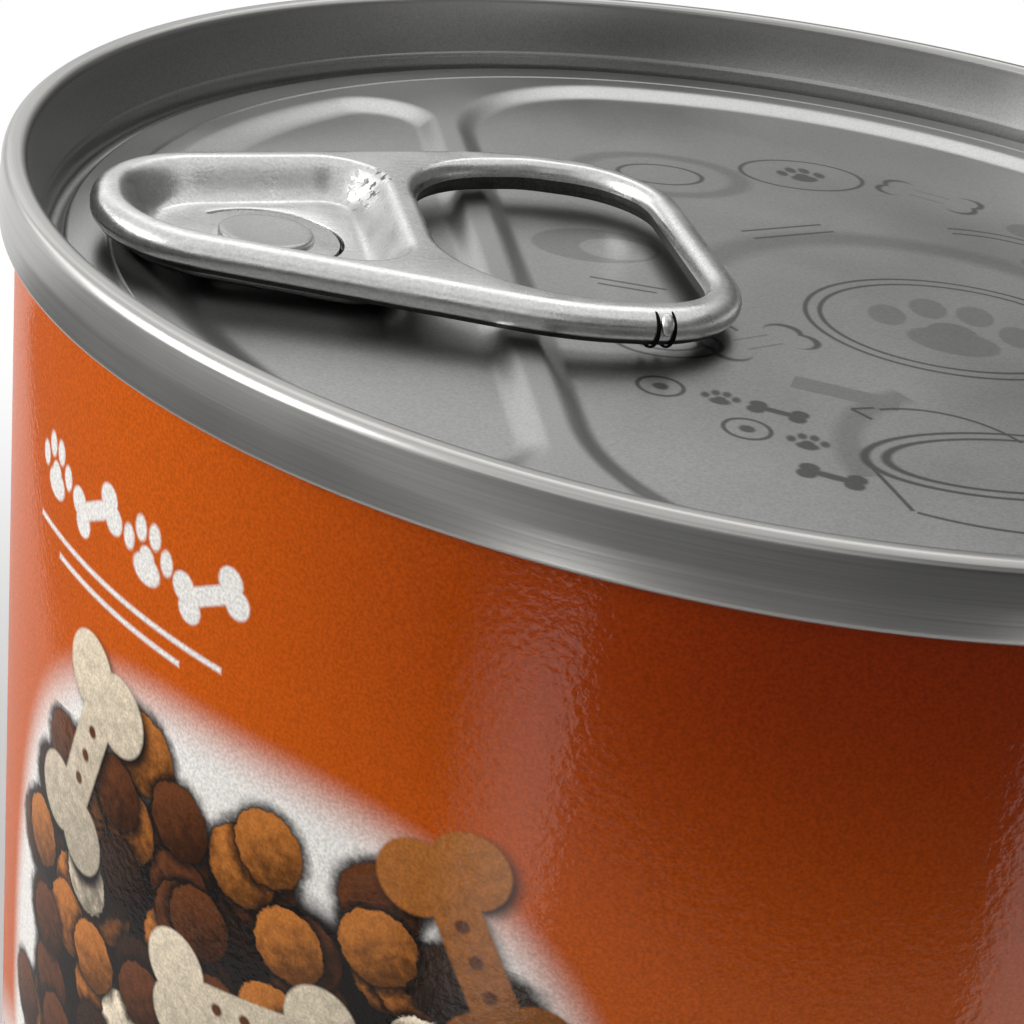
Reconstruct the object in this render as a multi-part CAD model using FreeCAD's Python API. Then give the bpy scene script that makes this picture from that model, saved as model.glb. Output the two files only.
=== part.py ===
"""Tall tinplate food can with a ring-pull end.

A printed steel cylinder, packed full, with an easy-open end seamed on top and a
plain end seamed below.  Millimetres.  The origin is the centre of the base, Z is
up, and the pull tab lies along X with its nose towards -X.
"""
import FreeCAD
import Part
import math
import os

from FreeCAD import Vector

# ---- body -------------------------------------------------------------------
CAN_HEIGHT = 110.0          # over both seams
BODY_RADIUS = 36.65         # outside of the printed wall

# ---- double seam, the same at both ends --------------------------------------
SEAM_HEIGHT = 3.05
SEAM_OVERHANG = 0.75        # how far the seam stands out from the wall
SEAM_THICKNESS = 1.25
SEAM_SKIRT_ROUND = 0.3      # rolled lower corner of the seam
SEAM_LAND = 0.35            # flat width left on the crown of the seam

# ---- formed end sheet ---------------------------------------------------------
SHEET = 0.22
CHUCK_TAPER = 0.7           # how much the chuck wall leans in on its way down
GROOVE_WIDTH = 0.9          # countersink groove at the foot of the chuck wall
PANEL_FOLD = 0.25           # radius where the panel turns down into the groove
GROOVE_DROP = 0.3           # from the panel down to the centre of the groove's round
TOP_PANEL_DEPTH = 4.05      # seam crown to panel, easy-open end
BASE_PANEL_DEPTH = 3.6      # seam crown to panel, plain end

# ---- easy-open panel ------------------------------------------------------------
SCORE_FROM_FOLD = 2.05      # score line, in from the edge of the panel
SCORE_WIDTH = 0.25
SCORE_DEPTH = 0.08
RECESS_EDGE = 3.15          # stamped recesses, in from the edge of the panel
RECESS_SLOPE = 2.0          # plan width of their outer slope
RECESS_DEPTH = 0.45
RIB_FROM_RIVET = 10.85      # straight rib between the two recesses, behind the rivet
RIB_WIDTH = 0.9             # across its top
RIB_SLOPE = 1.3             # plan width of the slopes beside the rib
PANEL_SKEW = -2.7           # degrees the stamped panel is turned from the tab's line
RING_SIDE_CORNER = 12.0     # corner radius of the large recess
NOSE_SIDE_CORNER = 3.5      # corner radius of the small recess

# ---- plain base panel -----------------------------------------------------------
BASE_BEADS = (5.55, 13.55)  # two stepped rings, in from the edge of the panel
BASE_BEAD_RISE = 0.55
BASE_BEAD_SLOPE = 1.2

# ---- pull tab, in its own frame: rivet at the origin, nose towards -X --------------
RIVET_FROM_SCORE = 7.2      # rivet in from the score line, which the nose reaches over
TAB_LIFT = 1.35             # centre of the curl above the panel, at the rivet
TAB_TILT = 1.72             # degrees, nose up
TAB_THICKNESS = 1.7         # over the curl
TAB_NOSE = 8.1              # rivet to the tip of the nose
TAB_TAIL = 21.4             # rivet to the end of the ring
TAB_NOSE_HALF = 5.12        # half width at the nose, before rounding
TAB_TAPER = 0.3             # widening of each side, per mm of length
TAB_SHOULDER = 12.3         # rivet to the widest part
TAB_TAIL_HALF = 10.6
TAB_NOSE_ROUND = 6.5
TAB_SHOULDER_ROUND = 15.0
TAB_TAIL_ROUND = 6.6
CURL_WIDTH = 1.65           # plan width of the curled rim
CURL_ROUND = 0.7
HOLE_START = 7.4            # rivet to the finger hole
HOLE_START_HALF = 7.6
HOLE_SHOULDER = 14.1
HOLE_SHOULDER_HALF = 9.3
HOLE_TAIL_HALF = 8.5
HOLE_ROUND = 5.2
HOLE_NOSE_ROUND = 6.2
POCKET_SLOPE = 1.1          # plan width of the pocket's walls
POCKET_NOSE_ROUND = 4.7
POCKET_BAR_ROUND = 2.5
WEB_DROP = 1.0              # curl centre down to the web's upper face
WEB_THICKNESS = 0.5
TONGUE_RADIUS = 3.65        # slot cut round the rivet
TONGUE_SLOT = 0.25
TONGUE_HINGE = 90.0         # degrees left uncut, towards the nose

# ---- rivet formed up out of the panel ---------------------------------------------
STEM_RADIUS = 1.7
STEM_CLEARANCE = 0.05
HEAD_RADIUS = 2.25
HEAD_THICKNESS = 0.3
BOSS_RADIUS = 3.9
BOSS_FLARE = 1.1

# ---- derived ------------------------------------------------------------------------
SEAM_RADIUS = BODY_RADIUS + SEAM_OVERHANG
CROWN_RADIUS = (SEAM_THICKNESS - SEAM_LAND) / 2
CHUCK_RADIUS = SEAM_RADIUS - SEAM_THICKNESS
CHUCK_FOOT = CHUCK_RADIUS - CHUCK_TAPER
PANEL_RADIUS = CHUCK_FOOT - GROOVE_WIDTH
GROOVE_CENTRE = CHUCK_FOOT - GROOVE_WIDTH / 2
SCORE_RADIUS = PANEL_RADIUS - SCORE_FROM_FOLD
RIVET_OFFSET = SCORE_RADIUS - RIVET_FROM_SCORE
RIB_CENTRE = RIVET_OFFSET - RIB_FROM_RIVET
CURL_DEPTH = TOP_PANEL_DEPTH - TAB_LIFT
RECESS_FLOOR = TOP_PANEL_DEPTH + RECESS_DEPTH
HINGE_HALF = math.radians(TONGUE_HINGE / 2)
MOST_OF_SIDE = 0.98         # part of an outline's side that its two rounded corners may take
TINY = 1e-6                 # mm; two levels nearer than this are the same


def line(a, b):
    return Part.LineSegment(a, b).toShape()


def arc(a, through, b):
    return Part.Arc(a, through, b).toShape()


def spin(edges):
    """Solid of revolution about the can's axis from the edges of a closed section."""
    section = Part.Wire(Part.sortEdges(edges)[0])
    return Part.Face(section).revolve(Vector(0, 0, 0), Vector(0, 0, 1), 360)


# ---------------------------------------------------------------------------------------
# Ends.  Both are drawn as a section in (radius, depth below the seam crown); `at`
# turns that into a point, measured down from the top or up from the base.
# ---------------------------------------------------------------------------------------
def from_top(radius, depth):
    return Vector(radius, 0, CAN_HEIGHT - depth)


def from_base(radius, depth):
    return Vector(radius, 0, depth)


def chuck_radius(depth, panel_depth):
    """Inside radius of the leaning chuck wall at a depth."""
    share = (depth - CROWN_RADIUS) / (panel_depth + GROOVE_DROP - CROWN_RADIUS)
    return CHUCK_RADIUS - CHUCK_TAPER * share


def end_face_edges(at, panel_depth):
    """Outer face of an end: panel, fold, groove, chuck wall, crown and skirt."""
    diag = math.sqrt(0.5)
    floor = panel_depth + GROOVE_DROP
    half_groove = GROOVE_WIDTH / 2
    fold_x = PANEL_RADIUS - PANEL_FOLD
    crown_in = CHUCK_RADIUS + CROWN_RADIUS
    crown_out = SEAM_RADIUS - CROWN_RADIUS
    round_x = SEAM_RADIUS - SEAM_SKIRT_ROUND
    round_d = SEAM_HEIGHT - SEAM_SKIRT_ROUND
    return [
        line(at(0, panel_depth), at(fold_x, panel_depth)),
        arc(at(fold_x, panel_depth),
            at(fold_x + PANEL_FOLD * diag, panel_depth + PANEL_FOLD * (1 - diag)),
            at(PANEL_RADIUS, panel_depth + PANEL_FOLD)),
        line(at(PANEL_RADIUS, panel_depth + PANEL_FOLD), at(PANEL_RADIUS, floor)),
        arc(at(PANEL_RADIUS, floor), at(GROOVE_CENTRE, floor + half_groove), at(CHUCK_FOOT, floor)),
        line(at(CHUCK_FOOT, floor), at(CHUCK_RADIUS, CROWN_RADIUS)),
        arc(at(CHUCK_RADIUS, CROWN_RADIUS),
            at(crown_in - CROWN_RADIUS * diag, CROWN_RADIUS * (1 - diag)),
            at(crown_in, 0)),
        line(at(crown_in, 0), at(crown_out, 0)),
        arc(at(crown_out, 0),
            at(crown_out + CROWN_RADIUS * diag, CROWN_RADIUS * (1 - diag)),
            at(SEAM_RADIUS, CROWN_RADIUS)),
        line(at(SEAM_RADIUS, CROWN_RADIUS), at(SEAM_RADIUS, round_d)),
        arc(at(SEAM_RADIUS, round_d),
            at(round_x + SEAM_SKIRT_ROUND * diag, round_d + SEAM_SKIRT_ROUND * diag),
            at(round_x, SEAM_HEIGHT)),
        line(at(round_x, SEAM_HEIGHT), at(BODY_RADIUS, SEAM_HEIGHT)),
    ]


def end_back_edges(at, panel_depth):
    """Inner face of an end, where the wall and the contents meet it."""
    floor = panel_depth + GROOVE_DROP
    back = GROOVE_WIDTH / 2 + SHEET
    neck = chuck_radius(SEAM_HEIGHT, panel_depth) + SHEET
    under = panel_depth + SHEET
    return [
        line(at(BODY_RADIUS, SEAM_HEIGHT), at(neck, SEAM_HEIGHT)),
        line(at(neck, SEAM_HEIGHT), at(GROOVE_CENTRE + back, floor)),
        arc(at(GROOVE_CENTRE + back, floor), at(GROOVE_CENTRE, floor + back),
            at(GROOVE_CENTRE - back, floor)),
        line(at(GROOVE_CENTRE - back, floor), at(GROOVE_CENTRE - back, under)),
        line(at(GROOVE_CENTRE - back, under), at(0, under)),
    ]


def plain_end(at, panel_depth):
    """An end before its panel is stamped."""
    axis = line(at(0, panel_depth + SHEET), at(0, panel_depth))
    return spin(end_face_edges(at, panel_depth) + end_back_edges(at, panel_depth) + [axis])


# ---------------------------------------------------------------------------------------
# Stamped recesses of the easy-open panel
# ---------------------------------------------------------------------------------------
def segment_wire(radius, chord, corner, side, z):
    """Part of a disc on one side of a chord, its two corners rounded."""
    centre_x = chord + side * corner
    centre_y = math.sqrt((radius - corner) ** 2 - centre_x ** 2)
    reach = radius / (radius - corner)
    touch = Vector(centre_x * reach, centre_y * reach, z)
    centre = Vector(centre_x, centre_y, z)
    start = Vector(chord, centre_y, z)
    out = (start - centre).normalize() + (touch - centre).normalize()
    middle = centre + out.normalize() * corner

    def flip(p):
        return Vector(p.x, -p.y, p.z)

    return Part.Wire([
        line(flip(start), start),
        arc(start, middle, touch),
        arc(touch, Vector(side * radius, 0, z), flip(touch)),
        arc(flip(touch), flip(middle), flip(start)),
    ])


def recess(side, chord, corner):
    """Sloping recess stamped into the panel; `side` is +1 for the ring, -1 for the nose."""
    top = CAN_HEIGHT - TOP_PANEL_DEPTH
    outer = PANEL_RADIUS - RECESS_EDGE
    rim = segment_wire(outer, chord, corner, side, top)
    floor = segment_wire(outer - RECESS_SLOPE, chord + side * RIB_SLOPE,
                         corner - RIB_SLOPE, side, top - RECESS_DEPTH)
    stamp = Part.makeLoft([rim, floor], True, True)
    stamp.rotate(Vector(0, 0, 0), Vector(0, 0, 1), PANEL_SKEW)
    return stamp


def panel_recesses():
    ring_side = recess(1, -RIB_CENTRE + RIB_WIDTH / 2, RING_SIDE_CORNER)
    nose_side = recess(-1, -RIB_CENTRE - RIB_WIDTH / 2, NOSE_SIDE_CORNER)
    return [ring_side, nose_side]


def score_groove():
    half = SCORE_WIDTH / 2
    left = from_top(SCORE_RADIUS - half, TOP_PANEL_DEPTH)
    right = from_top(SCORE_RADIUS + half, TOP_PANEL_DEPTH)
    root = from_top(SCORE_RADIUS, TOP_PANEL_DEPTH + SCORE_DEPTH)
    return spin([line(left, right), line(right, root), line(root, left)])


# ---------------------------------------------------------------------------------------
# Pull tab
# ---------------------------------------------------------------------------------------
def rounded_wire(corners, z):
    """Closed outline through (x, y, radius) corners, each rounded as far as its sides allow."""
    points = [Vector(x, y, z) for x, y, _ in corners]
    count = len(corners)
    half_angles = []
    runs = []
    for i, (_, _, radius) in enumerate(corners):
        back = points[i - 1] - points[i]
        ahead = points[(i + 1) % count] - points[i]
        half_angles.append(back.getAngle(ahead) / 2)
        runs.append(radius / math.tan(half_angles[i]))
    room = []
    for i in range(count):
        side = (points[(i + 1) % count] - points[i]).Length
        room.append(min(1.0, MOST_OF_SIDE * side / (runs[i] + runs[(i + 1) % count])))
    edges = []
    bends = []
    for i, (_, _, radius) in enumerate(corners):
        back = (points[i - 1] - points[i]).normalize()
        ahead = (points[(i + 1) % count] - points[i]).normalize()
        share = min(room[i - 1], room[i])
        run = runs[i] * share
        bulge = radius * share * (1 / math.sin(half_angles[i]) - 1)
        middle = (back + ahead).normalize() * bulge
        bends.append((points[i] + back * run, points[i] + middle, points[i] + ahead * run))
    for i, (start, middle, end) in enumerate(bends):
        edges.append(arc(start, middle, end))
        edges.append(line(end, bends[(i + 1) % count][0]))
    return Part.Wire(edges)


def mirrored(corners):
    """Corners of one side, then the same on the other side in reverse."""
    return corners + [(x, -y, radius) for x, y, radius in reversed(corners)]


def side_half(x, inset):
    """Half width of the tab's straight side at x, moved in by `inset` square to it."""
    return TAB_NOSE_HALF + TAB_TAPER * (x + TAB_NOSE) - inset * math.hypot(1, TAB_TAPER)


def tab_outline(z):
    shoulder_half = side_half(TAB_SHOULDER, 0)
    return rounded_wire(mirrored([
        (-TAB_NOSE, TAB_NOSE_HALF, TAB_NOSE_ROUND),
        (TAB_SHOULDER, shoulder_half, TAB_SHOULDER_ROUND),
        (TAB_TAIL, TAB_TAIL_HALF, TAB_TAIL_ROUND),
    ]), z)


def finger_hole(z):
    return rounded_wire(mirrored([
        (HOLE_START, HOLE_START_HALF, HOLE_NOSE_ROUND),
        (HOLE_SHOULDER, HOLE_SHOULDER_HALF, HOLE_ROUND),
        (TAB_TAIL - CURL_WIDTH, HOLE_TAIL_HALF, HOLE_ROUND),
    ]), z)


def pocket_outline(inset, z):
    """Outline of the sunk pocket round the rivet, `inset` in from its upper edge."""
    nose_x = -TAB_NOSE + CURL_WIDTH + inset
    bar_x = HOLE_START - CURL_WIDTH - inset
    return rounded_wire(mirrored([
        (nose_x, side_half(nose_x, CURL_WIDTH + inset), POCKET_NOSE_ROUND - inset),
        (bar_x, side_half(bar_x, CURL_WIDTH + inset), POCKET_BAR_ROUND),
    ]), z)


def slab(wire, height):
    return Part.Face(wire).extrude(Vector(0, 0, height))


def disc(radius, z, height):
    return Part.makeCylinder(radius, height, Vector(0, 0, z))


def tongue_slot():
    """Slot round three sides of the rivet, so that the tab can hinge on its tongue."""
    inner = TONGUE_RADIUS - TONGUE_SLOT
    z = -WEB_DROP - WEB_THICKNESS
    start = Vector(-math.cos(HINGE_HALF), math.sin(HINGE_HALF), 0)
    end = Vector(start.x, -start.y, 0)
    lift = Vector(0, 0, z)
    outer_arc = arc(start * TONGUE_RADIUS + lift, Vector(TONGUE_RADIUS, 0, z), end * TONGUE_RADIUS + lift)
    inner_arc = arc(end * inner + lift, Vector(inner, 0, z), start * inner + lift)
    wire = Part.Wire([
        outer_arc,
        line(end * TONGUE_RADIUS + lift, end * inner + lift),
        inner_arc,
        line(start * inner + lift, start * TONGUE_RADIUS + lift),
    ])
    return slab(wire, WEB_THICKNESS)


def seat_on_panel(shape):
    """Carry a shape from the tab's own frame to its place on the panel."""
    shape.Placement = FreeCAD.Placement(
        Vector(-RIVET_OFFSET, 0, CAN_HEIGHT - CURL_DEPTH),
        FreeCAD.Rotation(Vector(0, 1, 0), TAB_TILT))
    return shape


def pull_tab():
    half = TAB_THICKNESS / 2
    rim = slab(tab_outline(-half), TAB_THICKNESS).cut(slab(finger_hole(-half), TAB_THICKNESS))
    flat_edges = [e for e in rim.Edges if abs(abs(e.BoundBox.ZMin) - half) < TINY
                  and e.BoundBox.ZLength < TINY]
    rim = rim.makeFillet(CURL_ROUND, flat_edges)
    web_top = -WEB_DROP
    web_under = web_top - WEB_THICKNESS
    pan = Part.makeLoft([pocket_outline(0, -half + CURL_ROUND),
                         pocket_outline(POCKET_SLOPE - SHEET, web_under)], True, True)
    pocket = Part.makeLoft([pocket_outline(0, half), pocket_outline(POCKET_SLOPE, web_top)],
                           True, True)
    stem_hole = disc(STEM_RADIUS + STEM_CLEARANCE, web_under, WEB_THICKNESS)
    tab = rim.fuse(pan).cut(pocket).cut(tongue_slot()).cut(stem_hole)
    return seat_on_panel(tab.removeSplitter())


def rivet():
    """Boss, stem and flattened head, drawn up out of the panel's own metal."""
    web_top = -WEB_DROP
    web_under = web_top - WEB_THICKNESS
    floor_z = CAN_HEIGHT - RECESS_FLOOR
    rise = RECESS_FLOOR - (CURL_DEPTH - web_under) + 2 * SHEET
    boss = Part.makeCone(BOSS_RADIUS + BOSS_FLARE, BOSS_RADIUS, rise, Vector(0, 0, web_under - rise))
    stem = disc(STEM_RADIUS, web_under, WEB_THICKNESS)
    head = disc(HEAD_RADIUS, web_top, HEAD_THICKNESS)
    formed = seat_on_panel(boss.fuse([stem, head]).removeSplitter())
    below = Part.makeBox(4 * BOSS_RADIUS, 4 * BOSS_RADIUS, CAN_HEIGHT,
                         Vector(-RIVET_OFFSET - 2 * BOSS_RADIUS, -2 * BOSS_RADIUS,
                                floor_z - SHEET / 2 - CAN_HEIGHT))
    return formed.cut(below)


# ---------------------------------------------------------------------------------------
# The four pieces
# ---------------------------------------------------------------------------------------
def top_end():
    end = plain_end(from_top, TOP_PANEL_DEPTH)
    drop = Vector(0, 0, -SHEET)
    for stamp in panel_recesses():
        end = end.fuse(stamp.translated(drop)).cut(stamp)
    return end.cut(score_groove()).fuse(rivet()).removeSplitter()


def base_bead_stamps():
    """Discs that step the plain end's panel inwards, one inside the other."""
    stamps = []
    for i, inset in enumerate(BASE_BEADS):
        radius = PANEL_RADIUS - inset
        z = BASE_PANEL_DEPTH + i * BASE_BEAD_RISE
        stamps.append(Part.makeCone(radius, radius - BASE_BEAD_SLOPE, BASE_BEAD_RISE, Vector(0, 0, z)))
    return stamps


def bottom_end():
    end = plain_end(from_base, BASE_PANEL_DEPTH)
    lift = Vector(0, 0, SHEET)
    for stamp in base_bead_stamps():
        end = end.fuse(stamp.translated(lift)).cut(stamp)
    return end.removeSplitter()


def can_body():
    """Printed wall and what it holds, out to the inner faces of both ends."""
    top = end_back_edges(from_top, TOP_PANEL_DEPTH)
    base = end_back_edges(from_base, BASE_PANEL_DEPTH)
    wall = line(from_base(BODY_RADIUS, SEAM_HEIGHT), from_top(BODY_RADIUS, SEAM_HEIGHT))
    axis = line(from_top(0, TOP_PANEL_DEPTH + SHEET), from_base(0, BASE_PANEL_DEPTH + SHEET))
    body = spin(top + base + [wall, axis])
    for stamp in panel_recesses():
        body = body.cut(stamp.translated(Vector(0, 0, -SHEET)))
    for stamp in base_bead_stamps():
        body = body.cut(stamp.translated(Vector(0, 0, SHEET)))
    return body.removeSplitter()


def main():
    os.makedirs("parts", exist_ok=True)
    pieces = {
        "can_body": can_body(),
        "top_end": top_end(),
        "bottom_end": bottom_end(),
        "pull_tab": pull_tab(),
    }
    for name, shape in pieces.items():
        box = shape.BoundBox
        print(f"{name}: solids {len(shape.Solids)} valid {shape.isValid()} "
              f"volume {shape.Volume:.1f} z {box.ZMin:.2f}..{box.ZMax:.2f} "
              f"x {box.XMin:.2f}..{box.XMax:.2f}")
        shape.exportStep(f"parts/{name}.step")


main()
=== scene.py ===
import math

import bpy
import bmesh
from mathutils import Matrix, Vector
from mathutils.kdtree import KDTree


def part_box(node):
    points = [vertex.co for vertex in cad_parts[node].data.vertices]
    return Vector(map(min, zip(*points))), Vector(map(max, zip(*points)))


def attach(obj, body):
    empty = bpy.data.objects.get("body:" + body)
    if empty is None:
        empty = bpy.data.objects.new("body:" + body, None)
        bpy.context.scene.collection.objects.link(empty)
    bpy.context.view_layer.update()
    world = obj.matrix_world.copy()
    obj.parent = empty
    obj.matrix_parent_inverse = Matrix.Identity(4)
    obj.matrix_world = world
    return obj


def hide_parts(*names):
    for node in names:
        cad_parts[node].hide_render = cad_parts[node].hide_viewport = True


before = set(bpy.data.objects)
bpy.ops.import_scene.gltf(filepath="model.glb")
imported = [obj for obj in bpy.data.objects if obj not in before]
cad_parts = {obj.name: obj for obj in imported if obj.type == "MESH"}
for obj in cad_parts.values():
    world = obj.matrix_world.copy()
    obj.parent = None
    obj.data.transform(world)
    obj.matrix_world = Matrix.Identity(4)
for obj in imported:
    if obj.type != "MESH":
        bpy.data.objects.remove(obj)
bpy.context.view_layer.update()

# ---------------------------------------------------------------------------------------
# Printed wall.  A strip of tinplate is printed flat with opaque white, then with an
# orange ink that lets a little of the metal's sheen through, varnished, rolled round and
# welded down one side.  Both its edges are folded up inside the double seams.
# ---------------------------------------------------------------------------------------
MM = 0.001
AROUND = 288                # facets round the can
WALL_SHEET = 0.2
WALL_TUCK = 1.5             # how far the wall runs on inside each seam
WELD_AT = 125.0             # degrees round from +X
WELD_LAP = 0.6              # width of the overlap
WELD_PROUD = 0.05

wall_low, wall_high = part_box("can_body")
wall_radius = wall_high.x / MM
wall_foot = wall_low.z / MM
wall_top = wall_high.z / MM


def alone(piece):
    """Leaves only this piece selected, and active."""
    if bpy.context.object and bpy.context.object.mode == "EDIT":
        bpy.ops.object.mode_set(mode="OBJECT")
    bpy.ops.object.select_all(action="DESELECT")
    piece.select_set(True)
    bpy.context.view_layer.objects.active = piece


def pick(piece, kind, test):
    """In edit mode, selects the verts, edges or faces whose every corner passes the test."""
    bpy.ops.mesh.select_mode(type=kind)
    bpy.ops.mesh.select_all(action="DESELECT")
    shape = bmesh.from_edit_mesh(piece.data)
    for item in {"VERT": shape.verts, "EDGE": shape.edges, "FACE": shape.faces}[kind]:
        corners = [item] if kind == "VERT" else item.verts
        if all(test(v.co / MM) for v in corners):
            item.select = True
    shape.select_flush_mode()
    bmesh.update_edit_mesh(piece.data)


def turned(name, profile, close="open", facets=AROUND):
    """Draws a ring out through (radius, height) pairs in mm, about the upright axis."""
    radius, height = profile[0]
    bpy.ops.object.select_all(action="DESELECT")
    bpy.ops.mesh.primitive_circle_add(vertices=facets, radius=radius * MM, location=(0, 0, height * MM))
    piece = bpy.context.object
    piece.name = name
    bpy.ops.object.transform_apply(location=True, rotation=True, scale=True)
    bpy.ops.object.mode_set(mode="EDIT")
    bpy.ops.mesh.select_mode(type="EDGE")
    bpy.ops.mesh.select_all(action="SELECT")
    for next_radius, next_height in profile[1:]:
        bpy.ops.mesh.extrude_region_move(
            TRANSFORM_OT_translate={"value": (0, 0, (next_height - height) * MM)})
        growth = next_radius / radius
        bpy.ops.transform.resize(value=(growth, growth, 1), center_override=(0, 0, 0))
        radius, height = next_radius, next_height
    if close == "cap":
        bpy.ops.mesh.edge_face_add()
    if close == "loop":
        bpy.ops.mesh.select_all(action="DESELECT")
        bpy.ops.mesh.select_non_manifold()
        bpy.ops.mesh.bridge_edge_loops()
    return piece


def finished(piece, angle=40):
    """Turns the faces outwards, shades the piece and leaves edit mode."""
    if bpy.context.object.mode != "EDIT":
        bpy.ops.object.mode_set(mode="EDIT")
    bpy.ops.mesh.select_mode(type="FACE")
    bpy.ops.mesh.select_all(action="SELECT")
    bpy.ops.mesh.normals_make_consistent(inside=False)
    bpy.ops.object.mode_set(mode="OBJECT")
    alone(piece)
    bpy.ops.object.shade_smooth_by_angle(angle=math.radians(angle))
    return piece


wall_levels = [wall_foot - WALL_TUCK, wall_foot, wall_top, wall_top + WALL_TUCK]
printed_wall = turned("printed_wall", [(wall_radius, z) for z in wall_levels]
                      + [(wall_radius - WALL_SHEET, z) for z in reversed(wall_levels)], close="loop")
weld_way = Vector((math.cos(math.radians(WELD_AT)), math.sin(math.radians(WELD_AT)), 0))
weld_side = weld_way.cross(Vector((0, 0, 1)))
for shift in (-WELD_LAP, -WELD_LAP / 2, WELD_LAP / 2, WELD_LAP):
    bpy.ops.mesh.select_all(action="SELECT")
    bpy.ops.mesh.bisect(plane_co=weld_side * shift * MM, plane_no=weld_side)
pick(printed_wall, "VERT", lambda p: abs(p.dot(weld_side)) < WELD_LAP / 2 + 0.01 and p.dot(weld_way) > 0)
bpy.ops.transform.translate(value=weld_way * WELD_PROUD * MM)
finished(printed_wall, 60)

# The print's own map: millimetres round the wall from the middle of the front, and up.
FRONT_AT = 215.0            # degrees round from +X
print_map = printed_wall.data.uv_layers.new(name="print")
for face in printed_wall.data.polygons:
    middle = math.degrees(math.atan2(face.center.y, face.center.x))
    for corner in face.loop_indices:
        place = printed_wall.data.vertices[printed_wall.data.loops[corner].vertex_index].co / MM
        angle = math.degrees(math.atan2(place.y, place.x))
        angle = middle + (angle - middle + 180) % 360 - 180
        round_from_weld = (middle - WELD_AT) % 360 + angle - middle
        along = math.radians(round_from_weld + WELD_AT - FRONT_AT) * wall_radius
        print_map.data[corner].uv = (along, place.z - wall_top)


def linear(code):
    """sRGB hex colour as linear red, green, blue and alpha."""
    levels = [int(code[i:i + 2], 16) / 255 for i in (1, 3, 5)]
    return tuple(c / 12.92 if c <= 0.04045 else ((c + 0.055) / 1.055) ** 2.4 for c in levels) + (1.0,)


def add(tree, kind, links=(), out=0, **settings):
    """Adds one shader node with its settings and links, and gives one of its outputs."""
    made = tree.nodes.new("ShaderNode" + kind)
    for name, value in settings.items():
        setattr(made, name, value)
    for socket, value in dict(links).items():
        if isinstance(value, bpy.types.NodeSocket):
            tree.links.new(value, made.inputs[socket])
        else:
            made.inputs[socket].default_value = value
    return made.outputs[out] if made.outputs else made


def new_material(name):
    """A material with an empty tree, its output node and the object's coordinates in mm."""
    made = bpy.data.materials.new(name)
    made.use_nodes = True
    tree = made.node_tree
    tree.nodes.clear()
    place = add(tree, "TexCoord", out="Object")
    return made, tree, add(tree, "VectorMath", {0: place, "Scale": 1 / MM}, operation="SCALE")


def shares(tree, at, centre, radii):
    """Offsets from an oval's middle, as shares of its radii."""
    off = add(tree, "VectorMath", {0: at, 1: (*centre, 0)}, operation="SUBTRACT")
    return add(tree, "VectorMath", {0: off, 1: (*radii, 1)}, operation="DIVIDE")


def oval(tree, at, centre, radii, edge=0.1):
    """Mask of an oval on the print, its edge softened over `edge` mm."""
    span = add(tree, "VectorMath", {0: shares(tree, at, centre, radii)}, out="Value", operation="LENGTH")
    soft = edge / min(radii)
    return add(tree, "MapRange", {"Value": span, "From Min": 1 + soft, "From Max": 1 - soft},
               interpolation_type="SMOOTHSTEP")


def block(tree, at, centre, half, edge=0.1):
    """Mask of an upright rectangle on the print."""
    off = add(tree, "VectorMath", {0: at, 1: (*centre, 0)}, operation="SUBTRACT")
    far = add(tree, "VectorMath", {0: off}, operation="ABSOLUTE")
    past = add(tree, "VectorMath", {0: far, 1: (*half, 0)}, operation="SUBTRACT")
    parts = add(tree, "SeparateXYZ", {0: past}).node
    most = add(tree, "Math", {0: parts.outputs[0], 1: parts.outputs[1]}, operation="MAXIMUM")
    return add(tree, "MapRange", {"Value": most, "From Min": edge, "From Max": -edge},
               interpolation_type="SMOOTHSTEP")


def together(tree, masks):
    """One mask of several."""
    whole = masks[0]
    for mask in masks[1:]:
        whole = add(tree, "Math", {0: whole, 1: mask}, operation="MAXIMUM")
    return whole


def lay(tree, ground, ink, mask):
    """Prints an ink over what is there, where the mask is."""
    return add(tree, "Mix", {0: mask, 6: ground, 7: ink}, out=2, data_type="RGBA")


def moved(tree, at, centre, turn, size=1.0):
    """The print's coordinates as seen from a motif of that place, turn and size."""
    return add(tree, "Mapping", {"Vector": at, "Location": (*centre, 0),
                                 "Rotation": (0, 0, math.radians(turn)), "Scale": (size, size, 1)},
               vector_type="TEXTURE")


def bone(tree, at, centre, length, turn=0.0, edge=0.1):
    """Mask of a plain bone: a bar between two pairs of round knobs."""
    own = moved(tree, at, centre, turn, length)
    edge = edge / length
    knobs = [oval(tree, own, (x, y), (0.155, 0.155), edge) for x in (-0.35, 0.35) for y in (-0.105, 0.105)]
    return together(tree, knobs + [block(tree, own, (0, 0), (0.35, 0.095), edge)])


def paw(tree, at, centre, width, turn=0.0, edge=0.1):
    """Mask of a plain paw print: one pad and four toes."""
    own = moved(tree, at, centre, turn, width)
    edge = edge / width
    toes = [oval(tree, own, (x, y), (0.11, 0.16), edge)
            for x, y in ((-0.37, 0.05), (-0.135, 0.27), (0.135, 0.27), (0.37, 0.05))]
    pads = [oval(tree, own, (0, -0.2), (0.26, 0.19), edge), oval(tree, own, (0, -0.08), (0.15, 0.17), edge)]
    return together(tree, toes + pads)


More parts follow.
